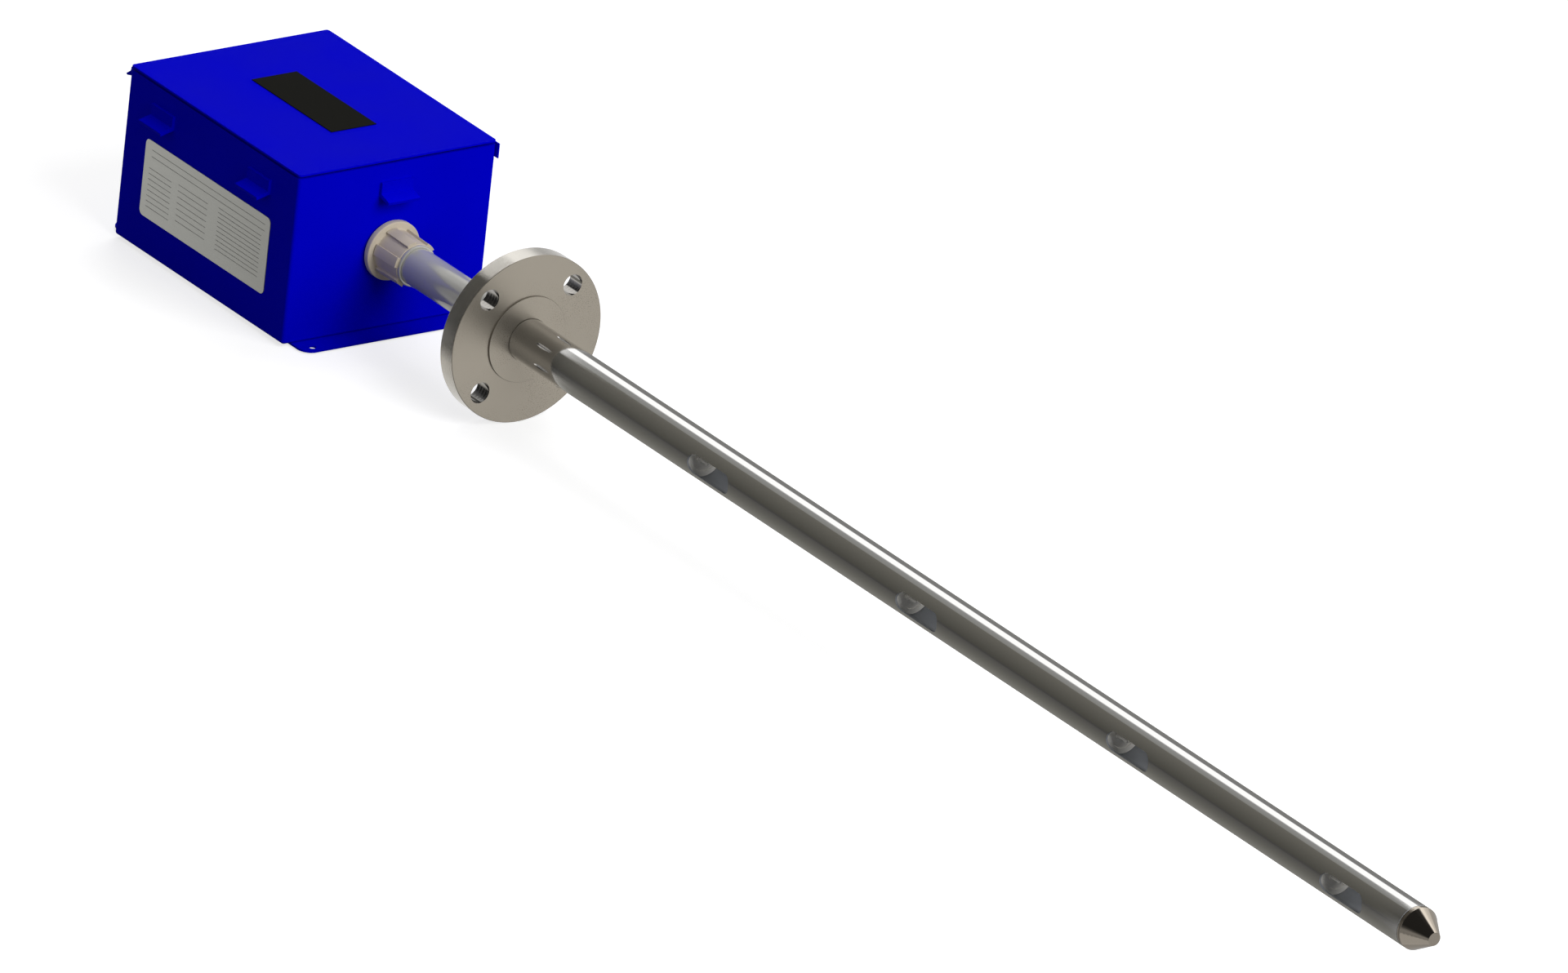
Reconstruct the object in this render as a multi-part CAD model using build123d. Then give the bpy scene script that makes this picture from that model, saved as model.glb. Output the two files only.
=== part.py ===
from build123d import *
import math
import os

# Insertion thermal mass flow meter: a hinged sheet-steel enclosure, a conduit hub and pipe,
# a bolted process flange and a long probe tube with four sensing windows.
# Millimetres. The origin is the centre of the flange's bolting face, on the probe's axis.
# +X runs along the probe to its tip, +Y to the hinged side of the enclosure, +Z to its lid.

# Enclosure sheet metal
box_length = 254.0
box_width = 203.2
box_height = 152.4
sheet = 1.9
corner_radius = 3.0
rim_width = 12.0
rim_corner_radius = 8.0
wall_to_flange_face = 204.7
axis_above_floor = 73.1

# Mounting feet under the front and rear walls
foot_overhang = 20.5
foot_lap = 19.0
foot_side_inset = 9.5
foot_corner_radius = 12.0
foot_hole_diameter = 6.4
foot_hole_from_wall = 12.7
foot_hole_from_side = 22.225

# Lid, gasket and plates
gasket_thickness = 2.0
gasket_width = 6.0
gasket_inset = 3.0
plate_thickness = 0.8
rating_plate_length = 187.0
rating_plate_height = 70.0
rating_plate_radius = 5.0
rating_plate_lift = 67.7
lid_plate_length = 120.0
lid_plate_width = 46.5

# Continuous hinge on the +Y wall
knuckle_radius = 1.9
knuckle_count = 10
knuckle_row_margin = 7.0
knuckle_gap = 0.4
hinge_pin_radius = 0.9
hinge_running_clearance = 0.05
hinge_wall_clearance = 0.15
hinge_leaf_thickness = 1.2
hinge_leaf_depth = 9.6
hinge_leaf_overrun = 3.0
hinge_lid_leaf_width = 5.0
hinge_leaf_gap = 0.4

# Bare clamp brackets
bracket_width = 32.5
bracket_height = 13.0
bracket_tab = 15.0
bracket_slope = 13.0
bracket_thickness = 3.0
bracket_below_rim = 15.8
bracket_from_end = 54.6

# Drip rail along the rear wall
rail_stand_off = 3.6
rail_reach = 10.3
rail_depth = 9.6
rail_nose = 1.9
rail_web_height = 3.4

# Conduit hub, its seal and its locknut
hub_disc_diameter = 54.0
hub_disc_thickness = 6.0
hub_root_diameter = 40.0
hub_mouth_diameter = 38.4
hub_body_length = 32.0
hub_lug_count = 6
hub_lug_width = 9.5
hub_lug_height = 1.9
hub_lug_turn = 15.0
hub_nipple_diameter = 42.0
hub_nipple_reach = 14.0
hub_wall_clearance = 0.5
hub_seal_thickness = 1.2
hub_seal_diameter = 49.0
locknut_diameter = 50.0
locknut_thickness = 7.0
locknut_lug = 3.0
locknut_lug_width = 9.0

# Extension pipe between the hub and the flange
pipe_diameter = 33.4
pipe_wall = 3.38
pipe_in_hub = 22.0
collar_diameter = 37.4
collar_length = 2.8
fit_clearance = 0.05

# Process flange
flange_diameter = 152.4
flange_thickness = 19.05
raised_face_diameter = 78.0
raised_face_height = 1.6
bolt_circle = 120.65
bolt_hole_diameter = 19.05
bolt_count = 4
flange_chamfer = 0.4
pipe_socket_depth = 6.0
tube_socket_depth = 11.5

# Probe tube, windows and end cap
tube_diameter = 38.1
tube_wall = 1.65
probe_length = 1316.0
window_count = 4
first_window = 295.0
last_window_from_tip = 106.6
window_length = 60.0
window_height = 17.5
cap_band = 4.4
cap_groove_width = 0.8
cap_groove_depth = 0.5
cap_cone = 22.4
cap_tip_diameter = 12.0
cap_spigot = 12.0

# Sensor heads inside the windows
bulkhead_thickness = 6.0
bulkhead_dish = 1.0
bulkhead_rim = 5.0
sting_diameter = 3.2
sting_offset = 6.0
sting_length = 14.0
sting_seat = 4.0
sting_collar_diameter = 5.6
sting_collar_length = 2.0
lead_tube_diameter = 6.35
lead_tube_wall = 0.9
lead_tube_height = 12.4
harness_diameter = 8.0
harness_bend = 14.0
harness_from_nipple = 20.0
harness_lead_out = 30.0

# Panel and electronics inside the enclosure
panel_from_ends = 16.0
panel_from_sides = 14.6
panel_stud_inset = 9.0
panel_hole_clearance = 0.3
panel_height = 12.0
stud_diameter = 10.0
stud_thread_diameter = 5.8
stud_thread_length = 9.0
panel_nut_width = 10.0
panel_nut_thickness = 5.0
board_width = 104.0
board_supply_gap = 12.0
board_thickness = 1.6
standoff_height = 10.0
standoff_diameter = 6.0
board_hole_inset = 6.0
display_length = 80.0
display_width = 36.0
display_height = 9.0
display_recess = 1.5
display_from_edge = 8.0
display_window_length = 64.0
display_window_width = 16.0
key_count = 4
key_pitch = 18.0
key_diameter = 8.0
key_travel = 1.0
key_stand = 2.4
key_display_gap = 5.0
key_rest_gap = 0.3
key_edge_radius = 1.0
switch_size = 12.0
switch_height = 6.0
switch_bore_clearance = 0.3
switch_floor = 1.2
bridge_board_count = 4
bridge_board_length = 34.0
bridge_board_height = 26.0
bridge_board_pitch = 11.0
bridge_board_inset = 4.0
supply_length = 56.0
supply_width = 110.0
supply_height = 34.0
supply_sheet = 1.5
supply_corner_radius = 2.0
supply_from_edge = 14.0
supply_vent_count = 7
supply_vent_pitch = 11.0
supply_vent_width = 4.0
supply_vent_end = 8.0
terminal_pitch = 8.0
terminal_ways = 8
terminal_depth = 14.0
terminal_height = 13.0
terminal_board_gap = 5.0
terminal_screw_radius = 2.2
terminal_screw_depth = 4.0
terminal_entry = 4.0
terminal_entry_depth = 5.0
lug_length = 22.0
lug_width = 12.0
lug_height = 9.0
lug_tongue = 2.0
lug_bore_radius = 2.6
lug_screw_radius = 2.5
lug_board_gap = 6.0

# How far a cutting solid passes through what it cuts
cut_margin = 10.0

# Places worked out from the sizes above
box_front = -wall_to_flange_face
box_rear = box_front - box_length
box_middle = (box_front + box_rear) / 2
box_floor = -axis_above_floor
box_top = box_floor + box_height
wall_y = box_width / 2
foot_hole_spacing = box_width - 2 * foot_hole_from_side
knuckle_pitch = (box_length - 2 * knuckle_row_margin) / knuckle_count
lid_under = box_top + gasket_thickness
hinge_y = wall_y + hinge_wall_clearance + knuckle_radius
hinge_z = lid_under - knuckle_radius
tube_bore = tube_diameter - 2 * tube_wall
tube_end = probe_length - cap_cone - cap_band
window_pitch = (probe_length - last_window_from_tip - first_window) / (window_count - 1)
window_centres = [first_window + window_pitch * index for index in range(window_count)]
flange_back = raised_face_height - flange_thickness
panel_under = box_floor + sheet + panel_height
panel_top = panel_under + sheet
board_under = panel_top + standoff_height
board_top = board_under + board_thickness
panel_length = box_length - 2 * panel_from_ends
panel_width = box_width - 2 * panel_from_sides
panel_stud_spacing_x = panel_length - 2 * panel_stud_inset
panel_stud_spacing_y = panel_width - 2 * panel_stud_inset
board_length = panel_length - supply_from_edge - supply_length - board_supply_gap
board_middle_x = box_front - panel_from_ends - board_length / 2
display_y = board_width / 2 - display_width / 2 - display_from_edge
key_y = display_y - display_width / 2 - switch_size / 2 - key_display_gap


def along_x(diameter, length, start=0.0):
    """A round bar on the probe axis from start towards the tip."""
    bar = Cylinder(diameter / 2, length, align=(Align.CENTER, Align.CENTER, Align.MIN))
    return Pos(start, 0, 0) * Rot(0, 90, 0) * bar


def on_floor(length, width, height):
    """A block centred in plan and standing on its base."""
    return Box(length, width, height, align=(Align.CENTER, Align.CENTER, Align.MIN))


def ring_along_x(outer, inner, length, start=0.0):
    return along_x(outer, length, start) - along_x(inner, length, start)


def enclosure_body():
    """Folded and welded box, open at the top, with an inward rim and a hole for the hub."""
    outline = RectangleRounded(box_length, box_width, corner_radius)
    cavity_outline = RectangleRounded(box_length - 2 * sheet, box_width - 2 * sheet, corner_radius - sheet)
    mouth_outline = RectangleRounded(box_length - 2 * rim_width, box_width - 2 * rim_width, rim_corner_radius)
    outer = extrude(outline, box_height)
    outer = fillet(outer.edges().group_by(Axis.Z)[0], corner_radius)
    cavity = Pos(0, 0, sheet) * extrude(cavity_outline, box_height - 2 * sheet)
    cavity = fillet(cavity.edges().group_by(Axis.Z)[0], corner_radius - sheet)
    mouth = Pos(0, 0, box_height / 2) * extrude(mouth_outline, box_height)
    shell = Pos(box_middle, 0, box_floor) * (outer - cavity - mouth)
    hole_diameter = hub_nipple_diameter + 2 * hub_wall_clearance
    hub_hole = along_x(hole_diameter, 2 * cut_margin, box_front - cut_margin)
    return shell - hub_hole


def mounting_foot(outward):
    """Strip welded under one end wall; outward is 1 at the front and -1 at the rear."""
    strip = Rectangle(foot_overhang + foot_lap, box_width - 2 * foot_side_inset)
    strip = fillet(strip.vertices().group_by(Axis.X)[-1], foot_corner_radius)
    strip = Pos((foot_overhang - foot_lap) / 2, 0) * strip
    for side in (-1, 1):
        hole = Circle(foot_hole_diameter / 2)
        strip -= Pos(foot_hole_from_wall, side * foot_hole_spacing / 2) * hole
    plate = extrude(strip, -sheet)
    turn = 0 if outward > 0 else 180
    wall_x = box_front if outward > 0 else box_rear
    return Pos(wall_x, 0, box_floor) * Rot(0, 0, turn) * plate


def lid():
    outline = RectangleRounded(box_length, box_width, corner_radius)
    return Pos(box_middle, 0, lid_under) * extrude(outline, sheet)


def lid_gasket():
    """Closed strip under the lid; its hinged side keeps clear of the hinge leaf."""
    outer_min_y = -wall_y + gasket_inset
    outer_max_y = hinge_y - knuckle_radius - hinge_leaf_gap - hinge_lid_leaf_width - hinge_leaf_gap
    length = box_length - 2 * gasket_inset
    width = outer_max_y - outer_min_y
    outline = RectangleRounded(length, width, gasket_width)
    inner = RectangleRounded(length - 2 * gasket_width, width - 2 * gasket_width, gasket_width / 2)
    strip = extrude(outline - inner, gasket_thickness)
    return Pos(box_middle, (outer_min_y + outer_max_y) / 2, box_top) * strip


def hinge_knuckle_starts(first):
    """Starts of every second knuckle, from the rear end of the hinge."""
    row_start = box_middle - knuckle_count * knuckle_pitch / 2
    return [row_start + knuckle_pitch * index for index in range(first, knuckle_count, 2)]


def hinge_barrel(start):
    length = knuckle_pitch - knuckle_gap
    barrel = along_x(2 * knuckle_radius, length, start + knuckle_gap / 2)
    return Pos(0, hinge_y, hinge_z) * barrel


def hinge_bore():
    bore_diameter = 2 * (hinge_pin_radius + hinge_running_clearance)
    return Pos(0, hinge_y, hinge_z) * along_x(bore_diameter, box_length + 2 * cut_margin, box_rear - cut_margin)


def hinge_body_leaf():
    """Leaf welded to the outside of the wall, with the odd knuckles and two raised ends."""
    leaf_top = hinge_z - knuckle_radius - hinge_leaf_gap
    leaf_length = box_length + 2 * hinge_leaf_overrun
    leaf_mid_y = wall_y + hinge_leaf_thickness / 2
    leaf = Box(leaf_length, hinge_leaf_thickness, hinge_leaf_depth)
    leaf = Pos(box_middle, leaf_mid_y, leaf_top - hinge_leaf_depth / 2) * leaf
    row_end_gap = knuckle_row_margin - hinge_leaf_gap
    end_length = hinge_leaf_overrun + row_end_gap
    end_height = lid_under - hinge_leaf_gap - leaf_top
    for side in (-1, 1):
        end_x = box_middle + side * (leaf_length - end_length) / 2
        end_plate = Box(end_length, hinge_leaf_thickness, end_height)
        leaf += Pos(end_x, leaf_mid_y, leaf_top + end_height / 2) * end_plate
    tab_height = hinge_z - leaf_top
    for start in hinge_knuckle_starts(0):
        tab = Box(knuckle_pitch - knuckle_gap, hinge_leaf_thickness, tab_height)
        leaf += Pos(start + knuckle_pitch / 2, leaf_mid_y, leaf_top + tab_height / 2) * tab
        leaf += hinge_barrel(start)
    return leaf - hinge_bore()


def hinge_lid_leaf():
    """Leaf welded under the lid, with the even knuckles."""
    leaf_mid_z = lid_under - hinge_leaf_thickness / 2
    strip_edge = hinge_y - knuckle_radius - hinge_leaf_gap
    strip_length = knuckle_count * knuckle_pitch
    strip = Box(strip_length, hinge_lid_leaf_width, hinge_leaf_thickness)
    leaf = Pos(box_middle, strip_edge - hinge_lid_leaf_width / 2, leaf_mid_z) * strip
    tab_width = hinge_y - strip_edge
    for start in hinge_knuckle_starts(1):
        tab = Box(knuckle_pitch - knuckle_gap, tab_width, hinge_leaf_thickness)
        leaf += Pos(start + knuckle_pitch / 2, strip_edge + tab_width / 2, leaf_mid_z) * tab
        leaf += hinge_barrel(start)
    return leaf - hinge_bore()


def hinge_pin():
    length = knuckle_count * knuckle_pitch
    return Pos(0, hinge_y, hinge_z) * along_x(2 * hinge_pin_radius, length, box_middle - length / 2)


def clamp_bracket():
    """Bent strip: a leg on the wall at x = 0 and a tab that slopes down and away from it."""
    slope = math.radians(bracket_slope)
    reach = bracket_tab * math.cos(slope)
    drop = bracket_tab * math.sin(slope)
    rise = bracket_thickness * math.cos(slope)
    top = bracket_height - rise
    section = Polyline(
        (0, top),
        (bracket_thickness, top),
        (bracket_thickness, 0),
        (reach, -drop),
        (reach - bracket_thickness * math.sin(slope), -drop - rise),
        (0, -rise),
        close=True,
    )
    profile = Plane.XZ * make_face(section)
    strip = extrude(profile, bracket_width / 2, both=True)
    lift = box_top - bracket_below_rim - top
    return Pos(0, 0, lift) * strip


def clamp_brackets():
    """Two brackets on the -Y wall and one on each end wall, keyed by the node's name."""
    near_rear = box_rear + bracket_from_end
    near_front = box_front - bracket_from_end
    return {
        "side_clamp_bracket_rear": Pos(near_rear, -wall_y, 0) * Rot(0, 0, -90) * clamp_bracket(),
        "side_clamp_bracket_front": Pos(near_front, -wall_y, 0) * Rot(0, 0, -90) * clamp_bracket(),
        "front_clamp_bracket": Pos(box_front, 0, 0) * clamp_bracket(),
        "rear_clamp_bracket": Pos(box_rear, 0, 0) * Rot(0, 0, 180) * clamp_bracket(),
    }


def rear_drip_rail():
    """Closed rail along the top of the rear wall that flares outward like a gutter lip."""
    web_foot = -rail_web_height
    section = Polyline(
        (0, 0),
        (rail_stand_off, 0),
        (rail_stand_off, web_foot),
        (rail_reach, -rail_depth + rail_nose / 2),
        (rail_reach - rail_nose, -rail_depth),
        (rail_stand_off / 2, -rail_depth + rail_nose),
        (0, -rail_depth + rail_nose),
        close=True,
    )
    face = make_face(section)
    bend = face.vertices().sort_by_distance(Vector(rail_stand_off, web_foot, 0))[0]
    face = fillet(bend, rail_web_height)
    rail = extrude(Plane.XZ * face, box_width / 2 - corner_radius, both=True)
    return Pos(box_rear, 0, box_top) * Rot(0, 0, 180) * rail


def rating_plate():
    """Bare rounded plate on the -Y wall."""
    outline = RectangleRounded(rating_plate_length, rating_plate_height, rating_plate_radius)
    plate = extrude(Plane.XZ * outline, plate_thickness)
    return Pos(box_middle, -wall_y, box_floor + rating_plate_lift) * plate


def lid_plate():
    """Bare plate in the middle of the lid."""
    outline = Rectangle(lid_plate_length, lid_plate_width)
    return Pos(box_middle, 0, lid_under + sheet) * extrude(outline, plate_thickness)


def conduit_hub():
    """Cast hub: sealing disc, tapered body with spanner lugs, and a nipple through the wall."""
    seat = box_front + hub_seal_thickness
    shoulder = seat + hub_disc_thickness
    mouth = shoulder + hub_body_length
    profile = Polyline(
        (shoulder, 0),
        (shoulder, hub_root_diameter / 2),
        (mouth - hub_disc_thickness, hub_mouth_diameter / 2),
        (mouth, hub_mouth_diameter / 2),
        (mouth, 0),
        close=True,
    )
    body = revolve(Plane.XZ * make_face(profile), Axis.X)
    disc = along_x(hub_disc_diameter, hub_disc_thickness, seat)
    disc = fillet(disc.edges().filter_by(GeomType.CIRCLE), hub_seal_thickness)
    hub = body + disc
    lug_radius = hub_root_diameter / 2 + hub_lug_height
    for index in range(hub_lug_count):
        lug = Box(hub_body_length, hub_lug_width, lug_radius, align=(Align.MIN, Align.CENTER, Align.MIN))
        lug = Pos(shoulder, 0, 0) * lug
        lug &= along_x(2 * lug_radius, hub_body_length, shoulder)
        hub += Rot(360 / hub_lug_count * index + hub_lug_turn, 0, 0) * lug
    nipple_start = box_front - sheet - hub_nipple_reach
    hub += along_x(hub_nipple_diameter, seat - nipple_start, nipple_start)
    hub -= along_x(pipe_diameter + 2 * fit_clearance, pipe_in_hub + cut_margin, mouth - pipe_in_hub)
    bore_length = mouth - nipple_start + 2 * cut_margin
    hub -= along_x(pipe_diameter - 2 * pipe_wall, bore_length, nipple_start - cut_margin)
    return hub


def hub_seal():
    """Flat ring between the hub's disc and the wall."""
    bore = hub_nipple_diameter + 2 * fit_clearance
    return ring_along_x(hub_seal_diameter, bore, hub_seal_thickness, box_front)


def hub_locknut():
    """Lobed locknut that clamps the hub from inside the wall."""
    start = box_front - sheet - locknut_thickness
    nut = along_x(locknut_diameter, locknut_thickness, start)
    for index in range(hub_lug_count):
        lobe = Box(locknut_thickness, locknut_lug_width, locknut_diameter / 2 + locknut_lug,
                   align=(Align.MIN, Align.CENTER, Align.MIN))
        lobe = Pos(start, 0, 0) * lobe
        nut += Rot(360 / hub_lug_count * index, 0, 0) * lobe
    return nut - along_x(hub_nipple_diameter + 2 * fit_clearance, locknut_thickness, start)


def hub_mouth():
    return box_front + hub_seal_thickness + hub_disc_thickness + hub_body_length


def pipe_collar():
    """Polished ring where the pipe enters the hub."""
    return ring_along_x(collar_diameter, pipe_diameter + 2 * fit_clearance, collar_length, hub_mouth())


def extension_pipe():
    start = hub_mouth() - pipe_in_hub
    end = flange_back + pipe_socket_depth
    return ring_along_x(pipe_diameter, pipe_diameter - 2 * pipe_wall, end - start, start)


def process_flange():
    """Raised-face flange with four bolt holes, a socket for the tube and one for the pipe."""
    plate_length = flange_thickness - raised_face_height
    plate = along_x(flange_diameter, plate_length, flange_back)
    plate = chamfer(plate.edges().filter_by(GeomType.CIRCLE), flange_chamfer)
    flange = plate + along_x(raised_face_diameter, raised_face_height)
    for index in range(bolt_count):
        angle = math.radians(360 / bolt_count * (index + 0.5))
        hole = along_x(bolt_hole_diameter, flange_thickness + 2 * cut_margin, flange_back - cut_margin)
        offset = (0, bolt_circle / 2 * math.cos(angle), bolt_circle / 2 * math.sin(angle))
        flange -= Pos(*offset) * hole
    flange -= along_x(pipe_diameter - 2 * pipe_wall, flange_thickness, flange_back)
    flange -= along_x(pipe_diameter + 2 * fit_clearance, pipe_socket_depth, flange_back)
    socket_length = tube_socket_depth + raised_face_height
    flange -= along_x(tube_diameter + 2 * fit_clearance, socket_length, -tube_socket_depth)
    return flange


def window_cut(centre):
    """Oblong slot through both sides of the tube."""
    slot = Plane.XZ * SlotOverall(window_length, window_height)
    return Pos(centre, 0, 0) * extrude(slot, tube_diameter, both=True)


def sensor_tube():
    tube = ring_along_x(tube_diameter, tube_bore, tube_end + tube_socket_depth, -tube_socket_depth)
    for centre in window_centres:
        tube -= window_cut(centre)
    return tube


def end_cap():
    """Solid nose: a spigot in the tube, a joint groove, a band, and a cone to a small flat."""
    profile = Polyline(
        (tube_end - cap_spigot, 0),
        (tube_end - cap_spigot, tube_bore / 2 - fit_clearance),
        (tube_end, tube_bore / 2 - fit_clearance),
        (tube_end, tube_diameter / 2 - cap_groove_depth),
        (tube_end + cap_groove_width, tube_diameter / 2 - cap_groove_depth),
        (tube_end + cap_groove_width, tube_diameter / 2),
        (tube_end + cap_band, tube_diameter / 2),
        (probe_length, cap_tip_diameter / 2),
        (probe_length, 0),
        close=True,
    )
    return revolve(Plane.XZ * make_face(profile), Axis.X)


def bulkhead(start, dish_start, with_stings):
    """Disc that closes the tube beside a window, dished on the window's side."""
    disc = along_x(tube_bore - 2 * fit_clearance, bulkhead_thickness, start)
    disc -= along_x(tube_bore - 2 * bulkhead_rim, bulkhead_dish, dish_start)
    disc -= Pos(0, 0, lead_tube_height) * along_x(lead_tube_diameter + 2 * fit_clearance, bulkhead_thickness, start)
    if with_stings:
        for side in (-1, 1):
            seat = along_x(sting_diameter + 2 * fit_clearance, bulkhead_thickness, start)
            disc -= Pos(0, side * sting_offset, 0) * seat
    return disc


def sensor_bulkhead(centre):
    face = centre - window_length / 2
    return bulkhead(face - bulkhead_thickness, face - bulkhead_dish, True)


def closing_bulkhead(centre):
    face = centre + window_length / 2
    return bulkhead(face, face, False)


def sting(centre, side, length):
    """Round-nosed probe pin with a collar against the bulkhead."""
    face = centre - window_length / 2 - bulkhead_dish
    radius = sting_diameter / 2
    stem = along_x(sting_diameter, length - radius + sting_seat, face - sting_seat)
    nose = Pos(face + length - radius, 0, 0) * Sphere(radius)
    collar = along_x(sting_collar_diameter, sting_collar_length, face)
    return Pos(0, side * sting_offset, 0) * (stem + nose + collar)


def lead_tube():
    """Thin tube that carries the far sensors' leads past the windows."""
    start = window_centres[0] - window_length / 2 - bulkhead_thickness
    end = window_centres[-1] - window_length / 2
    ring = ring_along_x(lead_tube_diameter, lead_tube_diameter - 2 * lead_tube_wall, end - start, start)
    return Pos(0, 0, lead_tube_height) * ring


def panel_stud_places():
    spots = []
    for side_x in (-1, 1):
        for side_y in (-1, 1):
            spots.append((box_middle + side_x * panel_stud_spacing_x / 2, side_y * panel_stud_spacing_y / 2))
    return spots


def panel_studs():
    """Four collar studs welded to the floor."""
    studs = []
    for x, y in panel_stud_places():
        pillar = Cylinder(stud_diameter / 2, panel_height, align=(Align.CENTER, Align.CENTER, Align.MIN))
        thread_length = sheet + stud_thread_length
        thread = Cylinder(stud_thread_diameter / 2, thread_length, align=(Align.CENTER, Align.CENTER, Align.MIN))
        stud = pillar + Pos(0, 0, panel_height) * thread
        studs.append(Pos(x, y, box_floor + sheet) * stud)
    return Compound(children=studs)


def panel_nuts():
    nuts = []
    for x, y in panel_stud_places():
        hexagon = RegularPolygon(panel_nut_width / 2, 6, major_radius=False)
        nut = extrude(hexagon - Circle(stud_thread_diameter / 2 + fit_clearance), panel_nut_thickness)
        nuts.append(Pos(x, y, panel_top) * nut)
    return Compound(children=nuts)


def sub_panel():
    outline = RectangleRounded(panel_length, panel_width, stud_diameter)
    panel = Pos(box_middle, 0, panel_under) * extrude(outline, sheet)
    for x, y in panel_stud_places():
        panel -= Pos(x, y, panel_under) * Cylinder(stud_thread_diameter / 2 + panel_hole_clearance, cut_margin)
    return panel


def board_hole_places():
    half_x = board_length / 2 - board_hole_inset
    half_y = board_width / 2 - board_hole_inset
    return [(board_middle_x + sx * half_x, sy * half_y) for sx in (-1, 1) for sy in (-1, 1)]


def board_standoffs():
    posts = []
    for x, y in board_hole_places():
        post = Cylinder(standoff_diameter / 2, standoff_height, align=(Align.CENTER, Align.CENTER, Align.MIN))
        posts.append(Pos(x, y, panel_top) * post)
    return Compound(children=posts)


def main_board():
    board = Pos(board_middle_x, 0, board_under) * on_floor(board_length, board_width, board_thickness)
    for x, y in board_hole_places():
        board -= Pos(x, y, board_under) * Cylinder(standoff_diameter / 4, cut_margin)
    return board


def display_module():
    """Framed character display on the main board."""
    frame_block = on_floor(display_length, display_width, display_height)
    recess = on_floor(display_window_length, display_window_width, display_height)
    module = frame_block - Pos(0, 0, display_height - display_recess) * recess
    return Pos(board_middle_x, display_y, board_top) * module


def key_places():
    start = board_middle_x - key_pitch * (key_count - 1) / 2
    return [(start + key_pitch * index, key_y) for index in range(key_count)]


def key_switches():
    """Four switch bodies, each with a round well for its key."""
    bodies = []
    for x, y in key_places():
        well_depth = switch_height - switch_floor
        well = Cylinder(key_diameter / 2 + switch_bore_clearance, 2 * well_depth)
        body = on_floor(switch_size, switch_size, switch_height) - Pos(0, 0, switch_height) * well
        bodies.append(Pos(x, y, board_top) * body)
    return Compound(children=bodies)


def menu_key(x, y):
    """Round key that stands its travel above the floor of its well."""
    base = board_top + switch_floor + key_travel + key_rest_gap
    height = board_top + switch_height + key_stand - base
    cap = Cylinder(key_diameter / 2, height, align=(Align.CENTER, Align.CENTER, Align.MIN))
    cap = fillet(cap.edges().group_by(Axis.Z)[-1], key_edge_radius)
    return Pos(x, y, base) * cap


def bridge_boards():
    """One small upright board for each sensing point."""
    boards = []
    first_x = board_middle_x - bridge_board_pitch * (bridge_board_count - 1) / 2
    board_y = -board_width / 2 + bridge_board_length / 2 + bridge_board_inset
    for index in range(bridge_board_count):
        board = on_floor(board_thickness, bridge_board_length, bridge_board_height)
        boards.append(Pos(first_x + bridge_board_pitch * index, board_y, board_top) * board)
    return Compound(children=boards)


def power_supply():
    """Metal-cased supply with a row of vents in its top."""
    case = on_floor(supply_length, supply_width, supply_height)
    case = fillet(case.edges().filter_by(Axis.Z), supply_corner_radius)
    walls = 2 * supply_sheet
    inside = on_floor(supply_length - walls, supply_width - walls, supply_height - walls)
    case -= Pos(0, 0, supply_sheet) * inside
    vents = SlotOverall(supply_length - 2 * supply_vent_end, supply_vent_width)
    for index in range(supply_vent_count):
        offset = supply_vent_pitch * (index - (supply_vent_count - 1) / 2)
        case -= Pos(0, offset, supply_height / 2) * extrude(vents, supply_height)
    place_x = box_rear + panel_from_ends + supply_from_edge + supply_length / 2
    return Pos(place_x, 0, panel_top) * case


def terminal_block(ways):
    """Screw terminal strip with a wire entry and a screw well for each way."""
    length = ways * terminal_pitch
    block = on_floor(length, terminal_depth, terminal_height)
    for index in range(ways):
        x = terminal_pitch * (index + 0.5) - length / 2
        screw_well = Cylinder(terminal_screw_radius, 2 * terminal_screw_depth)
        screw_well = Pos(x, terminal_depth / 5, terminal_height) * screw_well
        entry = Box(terminal_entry, 2 * terminal_entry_depth, terminal_entry)
        entry = Pos(x, -terminal_depth / 2, terminal_height / 3) * entry
        block -= screw_well + entry
    return block


def signal_terminals():
    place_y = -board_width / 2 - terminal_depth / 2 - terminal_board_gap
    return Pos(board_middle_x, place_y, panel_top) * terminal_block(terminal_ways)


def power_terminals():
    place_y = board_width / 2 + terminal_depth / 2 + terminal_board_gap
    return Pos(board_middle_x, place_y, panel_top) * Rot(0, 0, 180) * terminal_block(terminal_ways // 2)


def ground_lug():
    """Earthing lug: a base tongue and a wire barrel with a clamping screw hole."""
    tongue = on_floor(lug_length, lug_width, lug_tongue)
    barrel = Pos(lug_length / 4, 0, 0) * on_floor(lug_length / 2, lug_width, lug_height)
    lug = tongue + barrel
    bore_height = (lug_height + lug_tongue / 2) / 2
    lug -= Pos(lug_length / 4, 0, bore_height) * Rot(0, 90, 0) * Cylinder(lug_bore_radius, lug_length)
    lug -= Pos(-lug_length / 4, 0, 0) * Cylinder(lug_screw_radius, cut_margin)
    place_x = board_middle_x + board_length / 2 - lug_length
    place_y = board_width / 2 + lug_width / 2 + lug_board_gap
    return Pos(place_x, place_y, panel_top) * lug


def lead_harness():
    """Sensor leads from the first bulkhead through tube and hub to the signal terminals."""
    start = window_centres[0] - window_length / 2 - bulkhead_thickness
    drop_x = box_front - sheet - hub_nipple_reach - harness_from_nipple
    end_y = -board_width / 2 - terminal_depth - terminal_board_gap - harness_diameter
    end_z = panel_top + harness_diameter / 2
    terminal_end_x = board_middle_x + terminal_ways * terminal_pitch / 2
    route = FilletPolyline(
        (start, 0, 0),
        (drop_x, 0, 0),
        (drop_x, end_y, end_z),
        (terminal_end_x - harness_lead_out, end_y, end_z),
        radius=harness_bend,
    )
    section = Plane(origin=route @ 0, z_dir=route % 0) * Circle(harness_diameter / 2)
    return sweep(section, route)


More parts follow.
